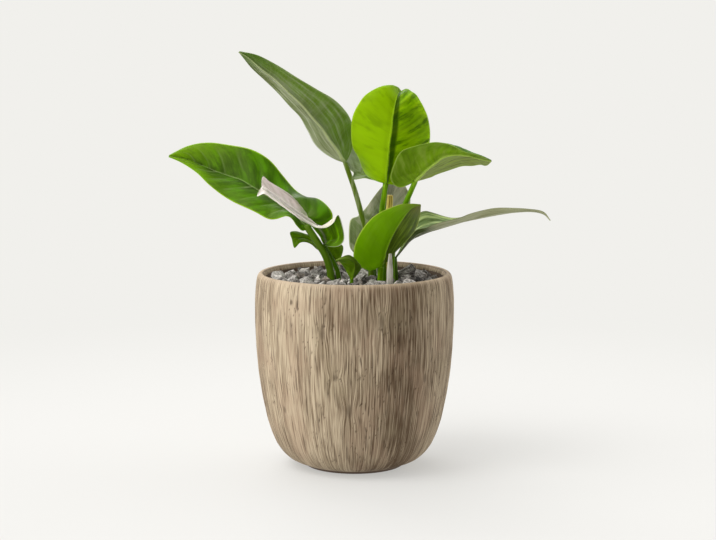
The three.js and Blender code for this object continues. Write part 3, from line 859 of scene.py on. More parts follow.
leafFarRight = {
    **plainLeaf,
    "name": "leaf_far_right",
    "slot": "leaf_mature",
    "stem": (3.6, 2.8),
    "petiole": [(46, 13, 180), (45, 12, 212)],
    "base": (44, 8, 229),
    "stations": [
        [(50, 14, 237), (48, 8, 234), (48, 2, 234)],
        [(61, 29, 262), (61, 9, 249), (59, -8, 252)],
        [(69, 36, 273), (71, 12, 254), (67, -11, 261)],
        [(78, 40, 277), (82, 15, 258), (77, -10, 265)],
        [(88, 43, 276), (94, 19, 261), (88, -8, 268)],
        [(111, 48, 269), (118, 28, 267), (113, 7, 272)],
        [(130, 52, 270), (135, 33, 271), (129, 19, 278)],
        [(153, 56, 273), (155, 38, 275), (151, 31, 281)],
        [(175, 58, 276), (175, 43, 277), (173, 39, 281)],
        [(198, 58, 276), (197, 48, 278), (195, 44, 280)],
        [(213, 55, 273), (212, 50, 274), (212, 48, 276)],
    ],
    "tip": (221, 50, 265),
    "bulge": [(0, -4, -4, -3, -2, 0), (0, -3, -3, -2, -1, 0)],
    "wave": (1, 4),
    "veins": {"count": 9, "climb": 0.4, "bow": 1.3, "relief": (0.4, 0.4), "show": (0.2, 0.2)},
    "upper": [(112, 138, 86), (128, 140, 92)],
    # Painted shade: the under face is dark near the base. Painted light: its pale tan beyond the twist and
    # its whitish streaks
    "under": [(58, 78, 22)] * 2,
    "rib": (165, 170, 130),
    "margin": (116, 122, 80),
    "stalk": (76, 110, 20),
    "through": (120, 150, 30),
    "streaks": (226, 224, 202),
    "veinwise": (0.1, 0.1),
    "lengthwise": (0.9, 0.5),
    "fineness": 3,
    "tipward": ("under", 0.22, 0.34, (180, 182, 148), 1),
    "glow": (0.2, 0.2),
}

leafLeft = {
    **plainLeaf,
    "name": "leaf_left",
    "slot": "leaf_mature",
    "stem": (4.4, 3.8),
    "petiole": [(-25, -8, 180), (-26, -8, 212), (-31, -9, 232), (-40, -7, 247)],
    "base": (-53, -2, 266),
    "stations": [
        [(-54, -4, 261), (-56, 0, 268), (-46, 0, 268)],
        [(-58, -6, 261), (-60, 3, 271), (-35, -2, 266)],
        [(-63, -8, 267), (-64, 6, 274), (-26, -2, 269)],
        [(-68, -8, 273), (-69, 9, 278), (-24, 1, 278)],
        [(-75, -8, 276), (-76, 12, 282), (-31, 8, 288)],
        [(-85, -6, 274), (-83, 16, 287), (-41, 16, 294)],
        [(-95, -2, 274), (-91, 21, 292), (-53, 26, 294)],
        [(-108, 3, 279), (-102, 26, 299), (-65, 34, 301)],
        [(-122, 9, 285), (-114, 31, 306), (-80, 41, 318)],
        [(-136, 15, 292), (-127, 36, 313), (-95, 48, 334)],
        [(-150, 21, 300), (-141, 41, 317), (-115, 53, 345)],
        [(-163, 28, 309), (-156, 45, 322), (-138, 56, 350)],
        [(-176, 36, 321), (-171, 48, 328), (-164, 58, 353)],
        [(-192, 43, 331), (-190, 50, 335), (-187, 57, 349)],
    ],
    "tip": (-210, 50, 338),
    "bulge": [(0, 2, 3, 3, 2, 1), (0, 6, 5, 3, 3, 1)],
    "wave": (1.2, 4),
    "veins": {"count": 9, "climb": 0.2, "bow": 1.1, "relief": (0.9, 1.0), "show": (0.4, 0.15)},
    "upper": [(74, 118, 0), (60, 100, 0)],
    "under": [(90, 130, 50)] * 2,
    # Whitish side-vein lines: partly painted highlight along the veins
    "rib": (176, 196, 130),
    "margin": (172, 212, 20),
    "stalk": (70, 100, 8),
    "through": (122, 170, 0),
    "streaks": (104, 164, 0),
    "veinwise": (0.55, 0.55),
    "tipward": ("upper", 0.5, 1.0, (122, 168, 0), 0.8),
    # Dark band along the midrib: painted shade
    "beside": ("upper", (50, 80, 14), 0.85, 0.85, 0.8),
    "glow": (0.25, 0.25),
}

leafFolded = {
    **plainLeaf,
    "name": "leaf_folded",
    "slot": "leaf_grey_green",
    "stem": (3.2, 2.4),
    "petiole": [(-16, 3, 180), (-18, 4, 212), (-24, 4, 226)],
    "base": (-34, 3, 244),
    "stations": [
        [(-36, 0, 249), (-32, -1, 249), (-26, -7, 243)],
        [(-37, -3, 252), (-33, -5, 253), (-16, -13, 245)],
        [(-39, -9, 256), (-34, -10, 257), (-11, -17, 256)],
        [(-45, -16, 265), (-38, -17, 264), (-17, -20, 279)],
        [(-47, -18, 270), (-41, -20, 267), (-23, -28, 271)],
        [(-50, -20, 274), (-46, -24, 272), (-32, -35, 267)],
        [(-54, -24, 284), (-53, -30, 278), (-46, -42, 271)],
        [(-69, -33, 303), (-72, -43, 293), (-72, -57, 291)],
        [(-90, -41, 317), (-90, -51, 308), (-93, -64, 306)],
        [(-98, -44, 323), (-96, -52, 312), (-103, -62, 304)],
    ],
    "tip": (-99, -51, 313),
    "bulge": [(0, 1, 2, 3, 3, 1), (0, -3, 1, 3, 3, 0)],
    "wave": (0.6, 3),
    "veins": {"count": 9, "climb": 0.15, "bow": 1.2, "relief": (0.4, 0.4), "show": (0.1, 0.1)},
    # Painted highlight: the near-white under face, the near-white light through it, its pale streaks, the
    # white band along its midrib and the whitening of the upper face towards the tip. Its dark streaks are
    # painted shade
    "upper": [(72, 114, 0), (92, 138, 0)],
    "under": [(226, 214, 212), (240, 232, 230)],
    "rib": (214, 206, 190),
    "margin": (222, 222, 196),
    "stalk": (60, 96, 4),
    "through": (240, 232, 232),
    "upperThrough": (110, 160, 20),
    "streaks": (252, 244, 244),
    "lengthwise": (0.5, 0.9),
    "fineness": 2.5,
    "tipward": ("upper", 0.45, 0.58, (248, 238, 238), 1.0),
    "ribShade": (0.3, 0.3),
    "beside": ("under", (255, 252, 250), 0.9, 1.0, 0),
    "glow": (0.55, 0.12),
}

leafLowLeft = {
    **plainLeaf,
    "name": "leaf_low_left",
    "slot": "leaf_mature",
    "stem": (3, 2.2),
    "petiole": [(-17, 17, 180), (-18, 20, 210)],
    "base": (-21, 22, 221),
    "stations": [
        [(-23, 20, 224), (-22, 22, 226), (-15, 24, 227)],
        [(-31, 16, 231), (-28, 20, 233), (-14, 28, 241)],
        [(-41, 12, 238), (-40, 16, 241), (-37, 23, 242)],
        [(-47, 10, 243), (-48, 14, 246), (-47, 20, 251)],
        [(-54, 7, 246), (-55, 12, 250), (-55, 17, 255)],
        [(-60, 3, 246), (-61, 8, 251), (-64, 13, 258)],
        [(-66, 0, 241), (-66, 6, 251), (-71, 9, 257)],
    ],
    "tip": (-69, 5, 250),
    "bulge": [(0, 1, 2, 1, 1, 0), (0, 2, 2, 2, 1, 0)],
    "wave": (0.6, 2),
    "veins": {"count": 7, "climb": 0.15, "bow": 1.2, "relief": (0.5, 0.5), "show": (0.2, 0.2)},
    "upper": [(100, 132, 8), (106, 142, 10)],
    "under": [(90, 120, 40)] * 2,
    "rib": (120, 145, 60),
    "margin": (175, 195, 110),
    "stalk": (76, 104, 6),
    "through": (120, 170, 0),
    "streaks": (150, 176, 60),
    "veinwise": (0.3, 0.3),
    "lengthwise": (0.3, 0.3),
    "tipward": ("upper", 0.6, 1.0, (76, 124, 6), 0.7),
    "glow": (0.3, 0.3),
}

leafFront = {
    **plainLeaf,
    "name": "leaf_front",
    "slot": "leaf_young",
    "stem": (3.6, 3.0),
    "petiole": [(28, -19, 180), (28, -20, 208)],
    "base": (29, -23, 224),
    "stations": [
        [(33, -20, 227), (30, -24, 227), (22, -21, 220)],
        [(38, -17, 230), (31, -26, 231), (14, -20, 219)],
        [(42, -15, 233), (33, -28, 236), (6, -20, 223)],
        [(46, -17, 239), (34, -31, 242), (-1, -24, 233)],
        [(56, -19, 251), (40, -38, 258), (3, -37, 256)],
        [(67, -22, 265), (48, -44, 273), (20, -48, 280)],
        [(71, -28, 279), (57, -48, 286), (44, -53, 293)],
        [(71, -36, 286), (63, -49, 291), (58, -54, 295)],
    ],
    "tip": (71, -50, 294),
    "bulge": [(0, -2, -2, -2, -1, 0), (0, -4, -4, -4, -3, 0)],
    "wave": (0.8, 3),
    "veins": {"count": 9, "climb": 0.3, "bow": 1.2, "relief": (0.1, 0.1), "show": (0.1, 0.1)},
    "upper": [(100, 160, 10), (90, 140, 20)],
    # Side 0, the half turned from the light, is much darker: partly painted shade
    "under": [(62, 72, 14), (120, 170, 0)],
    "rib": (150, 190, 60),
    "margin": (190, 200, 80),
    "stalk": (84, 122, 0),
    "through": (176, 214, 0),
    "streaks": (150, 176, 60),
    "veinwise": (0.1, 0.1),
    "lengthwise": (0.45, 0.15),
    "fineness": 5,
    "tipward": ("under", 0.72, 1.0, (140, 132, 80), 0.5),
    "ribShade": (0.5, 0.2),
    "glow": (0.22, 0.48),
}

leafBack = {
    **plainLeaf,
    "name": "leaf_back",
    "slot": "leaf_grey_green",
    "stem": (3, 2.4),
    "petiole": [(23, 19, 180), (22, 24, 211), (23, 30, 216)],
    "base": (24, 38, 220),
    "stations": [
        [(37, 33, 226), (25, 40, 225), (7, 43, 224)],
        [(46, 34, 233), (26, 44, 231), (-2, 46, 231)],
        [(51, 37, 242), (27, 48, 238), (-6, 53, 240)],
        [(58, 48, 263), (31, 58, 255), (-5, 66, 263)],
        [(61, 54, 274), (34, 64, 265), (4, 70, 269)],
        [(63, 60, 285), (37, 68, 275), (13, 74, 278)],
        [(62, 67, 294), (40, 73, 286), (23, 78, 291)],
        [(57, 74, 304), (44, 78, 297), (32, 81, 302)],
    ],
    "tip": (49, 86, 318),
    "bulge": [(0, -3, -3, -3, -2, 0), (0, -3, -3, -3, -2, 0)],
    "wave": (0.8, 3),
    "veins": {"count": 8, "climb": 0.18, "bow": 1.2, "relief": (0.4, 0.4), "show": (0.25, 0.25)},
    "upper": [(90, 125, 50)] * 2,
    "under": [(112, 120, 92), (92, 110, 66)],
    "rib": (165, 172, 140),
    "margin": (180, 188, 140),
    "stalk": (56, 88, 10),
    "through": (110, 140, 40),
    "streaks": (164, 162, 142),
    "veinwise": (0.5, 0.5),
    "lengthwise": (0.2, 0.2),
    "tipward": ("under", 0.4, 0.9, (140, 135, 124), 0.8),
    "glow": (0.16, 0.16),
}

leafBehind = {
    **plainLeaf,
    "name": "leaf_behind",
    "slot": "leaf_grey_green",
    "stem": (3.2, 2.4),
    "petiole": [(30, 13, 180), (28, 16, 223), (31, 25, 263), (33, 33, 297)],
    "base": (34, 38, 310),
    "stations": [
        [(31, 47, 333), (21, 42, 315), (19, 34, 313)],
        [(23, 51, 345), (13, 44, 318), (11, 32, 315)],
        [(13, 54, 353), (7, 46, 320), (-2, 32, 314)],
        [(2, 56, 356), (1, 48, 323), (-1, 40, 320)],
        [(-8, 57, 355), (-6, 50, 326), (-6, 46, 324)],
        [(-19, 58, 345), (-17, 54, 338), (-17, 52, 337)],
    ],
    "tip": (-19, 56, 341),
    "bulge": [(0, 2, 2, 2, 1, 0), (0, 1, 1, 0, 0, 0)],
    "wave": (0.5, 2),
    "veins": {"count": 7, "climb": 0.18, "bow": 1.2, "relief": (0.4, 0.4), "show": (0.3, 0.3)},
    "upper": [(90, 130, 50)] * 2,
    "under": [(112, 140, 56), (104, 136, 40)],
    "rib": (160, 175, 130),
    "margin": (185, 200, 130),
    "stalk": (76, 112, 16),
    "through": (110, 150, 40),
    "streaks": (182, 188, 166),
    "veinwise": (0.5, 0.5),
    "lengthwise": (0.2, 0.2),
    "tipward": ("under", 0.3, 0.7, (134, 142, 120), 0.8),
    "glow": (0.2, 0.2),
}

leafNew = {
    **plainLeaf,
    "name": "leaf_new",
    "slot": "leaf_young",
    "stem": (2.6, 2.0),
    "petiole": [(-3, -52, 183), (-3, -52, 203)],
    "base": (-3, -53, 214),
    "stations": [
        [(1, -50, 216), (-2, -54, 218), (-6, -52, 217)],
        [(7, -52, 225), (0, -56, 226), (-11, -53, 226)],
        [(4, -61, 233), (0, -62, 234), (-15, -58, 232)],
        [(-6, -70, 242), (-8, -70, 239), (-18, -65, 235)],
    ],
    "tip": (-20, -74, 237),
    "bulge": [(0, -1, -1, -1, 0, 0), (0, -2, -2, -1, -1, 0)],
    "wave": (0, 1),
    "veins": {"count": 6, "climb": 0.2, "bow": 1.2, "relief": (0.3, 0.3), "show": (0.2, 0.2)},
    "upper": [(95, 150, 15)] * 2,
    # Side 0 is darker: partly painted shade of the half that lies in shadow
    "under": [(74, 98, 16), (108, 150, 12)],
    "rib": (120, 165, 30),
    "margin": (180, 200, 110),
    "stalk": (60, 104, 4),
    "through": (130, 180, 0),
    "streaks": (140, 165, 50),
    "veinwise": (0.3, 0.3),
    "lengthwise": (0.3, 0.3),
    "tipward": ("under", 0.5, 1.0, (120, 144, 60), 0.6),
    "ribShade": (0.4, 0.2),
    "glow": (0.3, 0.3),
}

leaves = [
    leafUpperLeft, leafUpright, leafUpperRight, leafFarRight, leafLeft,
    leafFolded, leafLowLeft, leafFront, leafBack, leafBehind,
    leafNew,
]


def smoothCurve(points, perSpan=40):
    # Smooth curve through the points, and the share of its length at each step
    places = np.asarray(points, float)
    steps = np.linspace(0, 1, perSpan * (len(places) - 1) + 1)
    path = smoothLine(places, steps)
    length = np.concatenate([[0], np.cumsum(np.linalg.norm(np.diff(path, axis=0), axis=1))])
    return path, length / length[-1]


def smoothLine(places, u):
    # Smooth line through the points, which stand at even steps of u
    padded = np.vstack([2 * places[0] - places[1], places, 2 * places[-1] - places[-2]])
    spot = np.asarray(u, float) * (len(places) - 1)
    span = np.clip(np.floor(spot).astype(int), 0, len(places) - 2)
    step = (spot - span)[:, None]
    a, b, c, d = (padded[span + k] for k in range(4))
    cubic = (3 * b - a - 3 * c + d) * step**3 + (2 * a - 5 * b + 4 * c - d) * step**2
    return 0.5 * (2 * b + (c - a) * step + cubic)


def curveAt(curve, u):
    path, share = curve
    return np.stack([np.interp(u, share, path[:, k]) for k in range(3)], -1)


def tangentAt(curve, u, reach):
    return unit(curveAt(curve, np.minimum(u + reach, 1)) - curveAt(curve, np.maximum(u - reach, 0)))


def squareTo(direction, along):
    return unit(direction - (direction * along).sum(-1, keepdims=True) * along)


def bladeLines(leaf, u):
    # The margin of side 0, the midrib and the margin of side 1 at u
    lines = []
    for k in range(3):
        places = [leaf["base"], *[station[k] for station in leaf["stations"]], leaf["tip"]]
        lines.append(smoothLine(np.array(places, float), u))
    return lines


def bladeMiddle(leaf, u, t):
    # Middle surface of the blade, u along it and t across it from -1 to 1
    first, spine, second = bladeLines(leaf, u)
    along = np.gradient(spine, axis=0)
    height, count = leaf["wave"]
    points = np.zeros((len(u), len(t), 3))
    widths = np.zeros((len(u), len(t)))
    for j, place in enumerate(t):
        number = int(place >= 0)
        share = abs(place)
        out = (first, second)[number] - spine
        reach = np.linalg.norm(out, axis=1)
        width = np.maximum(reach, blade["leastWidth"])
        out = out * (width / np.maximum(reach, 1e-6))[:, None]
        normal = unit(np.cross(out, along)) * (1 if number else -1)
        swing = np.sin(2 * math.pi * (count * u + blade["waveShift"] * number))
        wave = height * share**2 * np.sin(math.pi * u) * swing
        rise = keyed(leaf["bulge"][number], u) * 4 * share * (1 - share) + wave
        points[:, j] = spine + out * share + normal * rise[:, None]
        widths[:, j] = width
    return points, widths


def veinPhase(veins, u, t):
    # Whole numbers lie on the side veins; both sides leave the midrib in turn
    a = abs(t)
    bend = sum(height * np.sin(along * u + across * t) for along, across, height in blade["wander"])
    return veins["count"] * (u - veins["climb"] * a ** veins["bow"]) + 0.5 * (t > 0) + bend


def bladeSkins(leaf):
    # Upper and lower skin of the blade, and how near each point is to the midrib
    half = blade["halfColumns"]
    u = np.linspace(blade["firstRow"], blade["lastRow"], blade["rows"])
    t = np.linspace(-1, 1, 2 * half + 1)
    t = np.sign(t) * abs(t) ** blade["crowding"]
    middle, widths = bladeMiddle(leaf, u, t)
    ribLength = np.cumsum(np.linalg.norm(np.diff(middle[:, half], axis=0, prepend=[leaf["base"]]), axis=1))
    place = (ribLength / ribLength[-1])[:, None]
    edge = abs(t)[None, :]
    across = np.gradient(middle, axis=1)
    along = np.gradient(middle, axis=0)
    normal = unit(np.cross(across, along))
    veins = leaf["veins"]
    quilt = abs(np.sin(math.pi * veinPhase(veins, place, t[None, :]))) ** blade["quilting"]
    calm = smoothStep(0, 0.12, edge) * smoothStep(1, 0.72, edge) * smoothStep(0.02, 0.12, place)
    calm = calm * smoothStep(1, 0.85, place) * np.minimum(widths / blade["fullRelief"], 1)
    relief = np.where(t < 0, *veins["relief"])[None, :]
    middle = middle + normal * (relief * (quilt - 0.5) * calm)[..., None]
    offset = edge * widths
    keelWidth = blade["keelHalfWidth"] * (blade["keelAtBase"] - blade["keelTaper"] * place)
    rib = np.exp(-((offset / keelWidth) ** 2))
    keel = blade["keelDepth"] * (1 - blade["keelFlattening"] * place) * rib
    half = (blade["thickness"] + (blade["edgeThickness"] - blade["thickness"]) * edge**2) / 2
    above = middle + normal * (half - blade["keelAbove"] * keel)[..., None]
    below = middle - normal * (half + keel)[..., None]
    return place[:, 0], t, above, below, rib, normal[0, blade["halfColumns"]]


def petioleRings(path, facing, radii, u, t, groove):
    # Rings of the petiole, with as many points as a row of the blade
    center = curveAt(path, u)
    along = tangentAt(path, u, 0.02)
    up = squareTo(np.broadcast_to(np.asarray(facing, float), along.shape), along)
    right = np.cross(along, up)
    radius = np.asarray(radii, float)
    widest = math.pi / 2 - blade["edgeAngle"]
    rings = []
    for turn in (t * widest, math.pi - t * widest):
        dent = 1 - groove * np.exp(-((turn / blade["grooveAngle"]) ** 2))
        out = radius[:, None] * dent
        ring = center[:, None] + right[:, None] * (out * np.sin(turn))[..., None]
        rings.append(ring + up[:, None] * (out * np.cos(turn))[..., None])
    return rings


def skinFaces(rows, count):
    # Closed skin through rows of upper points and then lower points; material 0 is above, 1 below
    at = lambda i, j: i * count * 2 + j
    faces, kinds = [], []
    for i in range(rows - 1):
        for j in range(count - 1):
            faces.append((at(i, j), at(i, j + 1), at(i + 1, j + 1), at(i + 1, j)))
            a, b = count + j, count + j + 1
            faces.append((at(i + 1, b), at(i, b), at(i, a), at(i + 1, a)))
            kinds += [0, 1]
        last = count - 1
        faces.append((at(i, 0), at(i + 1, 0), at(i + 1, count), at(i, count)))
        faces.append((at(i, last), at(i, count + last), at(i + 1, count + last), at(i + 1, last)))
        kinds += [1, 1]
    start = [at(0, j) for j in range(count)] + [at(0, count + j) for j in reversed(range(count))]
    end = [at(rows - 1, j) for j in range(count)] + [at(rows - 1, count + j) for j in reversed(range(count))]
    faces += [tuple(reversed(start)), tuple(end)]
    kinds += [1, 1]
    return faces, kinds


def perSide(tree, right, values):  # the first value on side 0, the second on side 1
    low, high = values
    return calc(tree, "MULTIPLY_ADD", right, high - low, low)


def veinMarks(tree, leaf, u, t, a, right):
    # Place among the side veins, their lines, the shade beside them, and the fine veins between them
    veins = leaf["veins"]
    wander = 0.0
    for along, across, height in blade["wander"]:
        sway = calc(tree, "MULTIPLY_ADD", u, along, times(tree, t, across))
        wander = calc(tree, "MULTIPLY_ADD", calc(tree, "SINE", sway), height, wander)
    climb = times(tree, calc(tree, "POWER", a, veins["bow"]), veins["climb"])
    phase = calc(tree, "MULTIPLY_ADD", calc(tree, "SUBTRACT", u, climb), veins["count"], wander)
    phase = calc(tree, "MULTIPLY_ADD", right, 0.5, phase)
    nearVein = calc(tree, "ABSOLUTE", calc(tree, "SUBTRACT", calc(tree, "FRACT", phase), 0.5))
    onBlade = times(tree, fade(tree, a, 0.98, 0.7), fade(tree, u, 0.0, 0.05))
    clear = times(tree, fade(tree, a, 0.95, 0.45), perSide(tree, right, veins["show"]))
    line = times(tree, fade(tree, nearVein, 0.4, 0.5), times(tree, onBlade, clear))
    raised = perSide(tree, right, [min(1.5 * relief, 1) for relief in veins["relief"]])
    shade = times(tree, fade(tree, nearVein, 0.1, 0.46), times(tree, onBlade, raised))
    fine = calc(tree, "SINE", times(tree, phase, 2 * math.pi * bladeFinish["fineVeins"]))
    return phase, line, shade, fine


def leafMaterial(leaf, face):
    material, tree = newMaterial(f"{leaf['name']}_{face}")
    place = objectPlace(tree)
    where = addNode(tree, "SeparateXYZ", {0: addNode(tree, "UVMap", uv_map="leafPlace").outputs[0]})
    u = where.outputs[0]
    t = calc(tree, "MULTIPLY_ADD", where.outputs[1], 2.0, -1.0)
    a = calc(tree, "ABSOLUTE", t)
    right = calc(tree, "GREATER_THAN", t, 0.0)
    rib = pointValue(tree, "rib")
    phase, line, shade, fine = veinMarks(tree, leaf, u, t, a, right)
    patterns = bladeFinish["patterns"].values()
    broad, mottle, fibres, pores = [noiseAt(tree, place, *pattern) for pattern in patterns]

    def tinted(colour, factor):
        return mixed(tree, 1.0, colour, bladeFinish[factor], "MULTIPLY")

    # The face's own colour, what changes it towards the tip and the midrib, and its darker tones, which are
    # partly painted shade
    colours = [screenColour(*colour) for colour in leaf[face]]
    base = mixed(tree, fade(tree, t, -0.02, 0.02), *colours)
    # Colour of the pale streaks and mottles; the streaks are partly painted sheen
    paler = screenColour(*leaf["streaks"])
    light = screenColour(*leaf["through"])
    if face == "upper":
        paler = screenColour(*[min(bladeFinish["upperStreaksAndSheen"] * part, 255) for part in leaf["upper"][1]])
        light = screenColour(*(leaf["upperThrough"] or leaf["through"]))
    tipFace, begins, ends, tipColour, tipShare = leaf["tipward"]
    if tipFace == face:
        tip = screenColour(*tipColour)
        towards = fade(tree, u, begins, ends, 0, tipShare)
        base, paler, light = [mixed(tree, towards, colour, tip) for colour in (base, paler, light)]
    if leaf["beside"] and leaf["beside"][0] == face:
        _, besideColour, reach, *besideShow = leaf["beside"]
        band = times(tree, fade(tree, a, reach, 0.0), perSide(tree, right, besideShow))
        base = mixed(tree, times(tree, band, fade(tree, u, 1.0, 0.7)), base, screenColour(*besideColour))
    blotchAndShade = tinted(base, "blotchAndShade")
    darkest = tinted(base, "darkest")
    base = mixed(tree, fade(tree, broad, 0.44, 0.66, 0, 0.4), base, blotchAndShade)
    base = mixed(tree, fade(tree, mottle, 0.5, 0.72, 0, 0.1), base, paler)

    # Light and dark streaks, partly painted sheen and painted shade; dim is where less light gets through
    alongVeins = addNode(tree, "CombineXYZ", {0: phase, 1: times(tree, a, 0.9), 2: right}).outputs[0]
    lengthwise = {0: times(tree, u, 1.3), 1: times(tree, t, leaf["fineness"])}
    alongBlade = addNode(tree, "CombineXYZ", lengthwise).outputs[0]
    veinwiseNoise = noiseAt(tree, alongVeins, *bladeFinish["veinwise"])
    lengthwiseNoise = noiseAt(tree, alongBlade, *bladeFinish["lengthwise"])
    dim = 0.0
    for pattern, share in ((veinwiseNoise, leaf["veinwise"]), (lengthwiseNoise, leaf["lengthwise"])):
        show = perSide(tree, right, share)
        base = mixed(tree, times(tree, fade(tree, pattern, *bladeFinish["paleRange"]), show), base, paler)
        darker = times(tree, fade(tree, pattern, *bladeFinish["darkRange"]), show)
        base = mixed(tree, darker, base, darkest)
        dim = calc(tree, "MAXIMUM", dim, darker)
    # Painted shade in the hollows along the side veins
    base = mixed(tree, times(tree, shade, 0.2), base, blotchAndShade)
    base = mixed(tree, times(tree, fade(tree, fine, 0.4, 1.0), 0.06), base, paler)
    # Painted shade beside the raised midrib; it also holds back the light that passes through
    ribShade = times(tree, fade(tree, a, 0.18, 0.1), fade(tree, a, 0.0, 0.03))
    ribShade = times(tree, ribShade, perSide(tree, right, leaf["ribShade"]))
    base = mixed(tree, ribShade, base, tinted(base, "ribShadeTint"))

    # Side veins, whose lines are painted highlight on some leaves and painted shade on others, then margin,
    # midrib and petiole
    ribColour = screenColour(*leaf["rib"])
    broken = times(tree, line, fade(tree, veinwiseNoise, 0.62, 0.4, 0.15, 1))
    base = mixed(tree, broken, base, ribColour)
    dim = calc(tree, "MAXIMUM", calc(tree, "MAXIMUM", dim, ribShade), broken)
    margin = times(tree, fade(tree, a, *bladeFinish["marginBand"]), fade(tree, u, 0.0, 0.04))
    margin = times(tree, margin, bladeFinish["marginShow"])
    base = mixed(tree, margin, base, screenColour(*leaf["margin"]))
    base = mixed(tree, times(tree, rib, leaf["ribShow"]), base, ribColour)
    stalk = mixed(tree, fade(tree, fibres, 0.45, 0.62, 0, 0.4), screenColour(*leaf["stalk"]), colours[1])
    base = mixed(tree, fade(tree, u, -0.01, 0.05), stalk, base)

    bump = bumped(tree, calc(tree, "MULTIPLY_ADD", fine, 0.25, pores), *bladeFinish["bump"])
    surface = surfaceShader(tree, base, fade(tree, mottle, 0.35, 0.65, *bladeFinish["gloss"][face]), bump)
    surface.inputs["Specular IOR Level"].default_value = bladeFinish["specular"][face]
    surface.inputs["Specular Tint"].default_value = bladeFinish["specularTint"]
    less = calc(tree, "MAXIMUM", times(tree, shade, 0.4), dim)
    passing = mixed(tree, less, light, tinted(light, "held"))
    glow = addNode(tree, "BsdfTranslucent", {"Color": passing, "Normal": bump})
    share = times(tree, calc(tree, "SUBTRACT", 1.0, rib), perSide(tree, right, leaf["glow"]))
    showShader(tree, blended(tree, share, surface, glow))
    return material


def buildLeaf(leaf):
    u, t, above, below, rib, facing = bladeSkins(leaf)
    stalk = smoothCurve([*leaf["petiole"], leaf["base"]])
    steps = np.linspace(0, 1, blade["petioleRows"])
    radii = keyed(leaf["stem"], steps)
    ringAbove, ringBelow = petioleRings(stalk, facing, radii, steps, t, blade["grooveDepth"])
    above = np.concatenate([ringAbove, above])
    below = np.concatenate([ringBelow, below])
    points = np.concatenate([above, below], axis=1).reshape(-1, 3)
    faces, kinds = skinFaces(len(above), len(t))
    materials = [leafMaterial(leaf, "upper"), leafMaterial(leaf, "under")]
    made = meshObject(leaf["name"] + "_blade", points, faces, materials, kinds)

    along = np.concatenate([(steps - 1) * blade["petioleSpan"], u])
    ribs = np.concatenate([np.ones_like(ringAbove[..., 0]), rib])
    pointValues(made, "rib", np.concatenate([ribs, ribs], axis=1))
    place = np.stack(np.broadcast_arrays(along[:, None], (t + 1)[None, :] / 2), -1)
    place = np.concatenate([place, place], axis=1).reshape(-1, 2)
    corners = np.zeros(len(made.data.loops), np.int32)
    made.data.loops.foreach_get("vertex_index", corners)
    layer = made.data.uv_layers.new(name="leafPlace")
    layer.data.foreach_set("uv", place[corners].ravel().astype(np.float32))
    dress(made, leaf["slot"], leaf["name"])


# Sheaths that once wrapped the leaves: one gone yellow, one dry and pale

sheaths = [
    {
        "name": "sheath_yellow",
        "path": [(36, 5, 180), (36, 3, 240), (38, 1, 280), (39, 0, 299)],
        "radii": [3, 3.6, 4.3, 3.2],
        "flatness": 0.6,
        "groove": 0.1,
        "light": screenColour(226, 210, 110),
        "dark": screenColour(150, 105, 45),
    },
    {
        "name": "sheath_dry",
        "path": [(38, -42, 184), (38, -43, 210), (38.3, -44, 232), (38.5, -44, 240)],
        "radii": [3.6, 3.6, 3.5, 1.6],
        "flatness": 0.75,
        "groove": 0.1,
        "light": screenColour(214, 210, 198),
        "dark": screenColour(140, 136, 122),
    },
]


def sheathMaterial(sheath):
    material, tree = newMaterial(sheath["name"] + "_skin")
    fibres = noiseAt(tree, objectPlace(tree), 900, 3, 0.6, (1, 1, 0.06))
    colour = colourRamp(tree, fibres, [(0.38, sheath["dark"]), (0.52, sheath["light"])])
    surface = surfaceShader(tree, colour, 0.6, bumped(tree, fibres, 0.5, 0.0004))
    through = addNode(tree, "BsdfTranslucent", {"Color": sheath["light"]})
    showShader(tree, blended(tree, 0.25, surface, through))
    return material


def buildSheath(sheath):
    rows, count = 60, 25
    steps = np.linspace(0, 1, rows)
    t = np.linspace(-1, 1, count)
    path = smoothCurve(sheath["path"])
    radii = keyed(sheath["radii"], steps)
    above, below = petioleRings(path, (0, -1, 0), radii, steps, t, sheath["groove"])
    ring = np.concatenate([above, below], axis=1)
    center = curveAt(path, steps)
    ring[..., 1] = center[:, None, 1] + (ring[..., 1] - center[:, None, 1]) * sheath["flatness"]
    faces, _ = skinFaces(rows, count)
    made = meshObject(sheath["name"] + "_piece", ring.reshape(-1, 3), faces, [sheathMaterial(sheath)])
    dress(made, sheath["name"], sheath["name"])


# Studio: a pale floor that meets a background of the same colour, and soft light from the left

studio = {
    "background": screenColour(241, 240, 236),
    "floorColour": (0.555, 0.552, 0.543, 1),
    "floorRadius": 30,  # in metres
    "floorDrop": 0.3,
    "floorFade": (0.3, 1.1),  # distances between which the floor turns into the background
    "floorGlow": 0.5,  # share of the background's light in the floor under the plant
    "skyStrength": 0.28,
    "softBoxes": [  # where from, cosine at the outer and inner edge, strength
        ((-0.85, -0.45, 0.7), 0.60, 0.84, 2.0),
        ((-0.1, 0.75, 0.9), 0.72, 0.90, 1.2),
        ((0.94, 0.34, 0.3), 0.80, 0.93, 1.6),
    ],
    "keyStrength": 1.1,
    "keyAngle": 30,
    "keyFrom": (-0.75, -0.45, 1.25),
    "backStrength": 1.0,
    "backAngle": 40,
    "backFrom": (-0.35, 0.9, 1.0),
}


def sun(name, strength, spread, direction):
    data = bpy.data.lights.new(name, "SUN")
    data.energy = strength
    data.angle = math.radians(spread)
    made = bpy.data.objects.new(name, data)
    made.rotation_euler = Vector(direction).to_track_quat("Z", "Y").to_euler()
    bpy.context.collection.objects.link(made)


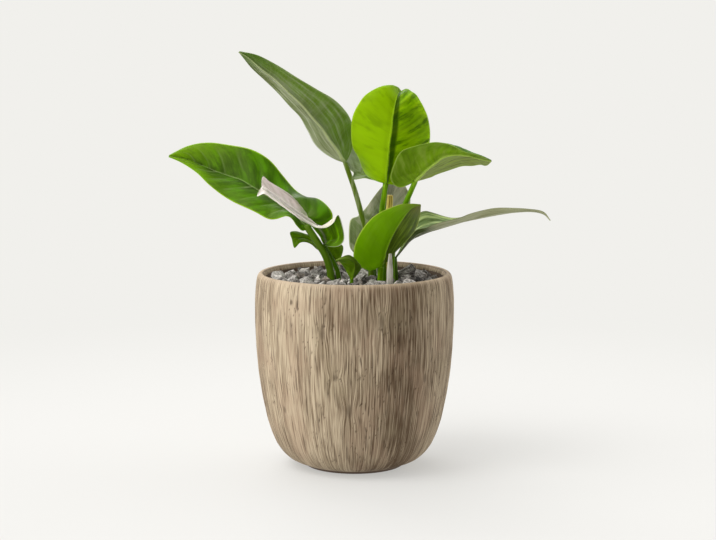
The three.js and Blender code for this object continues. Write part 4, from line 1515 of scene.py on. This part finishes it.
def skyStrength(tree):
    # Dim all round, and bright in the directions of the soft boxes
    direction = addNode(tree, "TexCoord").outputs["Generated"]
    strength = studio["skyStrength"]
    for source, outer, inner, added in studio["softBoxes"]:
        inputs = {0: direction, 1: Vector(source).normalized()}
        toward = addNode(tree, "VectorMath", inputs, operation="DOT_PRODUCT").outputs["Value"]
        strength = calc(tree, "ADD", strength, fade(tree, toward, outer, inner, 0, added))
    return strength


def buildStudio():
    mesh = bpy.data.meshes.new("floor")
    shape = bmesh.new()
    bmesh.ops.create_circle(shape, cap_ends=True, segments=64, radius=studio["floorRadius"])
    shape.to_mesh(mesh)
    shape.free()
    floor = bpy.data.objects.new("floor", mesh)
    floor.location.z = -studio["floorDrop"] * mm
    bpy.context.collection.objects.link(floor)
    material, tree = newMaterial("paleFloor")
    shader = addNode(tree, "BsdfPrincipled", {"Base Color": studio["floorColour"], "Roughness": 0.9})
    shader.inputs["Specular IOR Level"].default_value = 0.1
    away = addNode(tree, "VectorMath", {0: objectPlace(tree)}, operation="LENGTH").outputs["Value"]
    far = addNode(tree, "Emission", {"Color": studio["background"], "Strength": 1})
    share = fade(tree, away, *studio["floorFade"], studio["floorGlow"], 1)
    showShader(tree, blended(tree, share, shader, far))
    mesh.materials.append(material)

    world = bpy.data.worlds.new("studio")
    bpy.context.scene.world = world
    world.use_nodes = True
    tree = world.node_tree
    tree.nodes.clear()
    sky = addNode(tree, "Background", {"Color": (1, 0.99, 0.97, 1), "Strength": skyStrength(tree)})
    seen = addNode(tree, "Background", {"Color": studio["background"], "Strength": 1})
    both = blended(tree, addNode(tree, "LightPath").outputs["Is Camera Ray"], sky, seen)
    addNode(tree, "OutputWorld", {"Surface": both.outputs[0]})
    sun("keyLight", studio["keyStrength"], studio["keyAngle"], studio["keyFrom"])
    sun("backLight", studio["backStrength"], studio["backAngle"], studio["backFrom"])
    bpy.context.scene.view_settings.view_transform = "Standard"


makeCamera()
print("camera set")
buildPlanter()
stems = [np.array(leaf["petiole"][1][:2]) for leaf in leaves]
stems += [np.array(sheath["path"][1][:2]) for sheath in sheaths]
buildGravel(stems)
dressSoil()
print("filling dressed")
for leaf in leaves:
    buildLeaf(leaf)
print("leaves:", len(leaves))
for sheath in sheaths:
    buildSheath(sheath)
buildStudio()
print("studio lit")
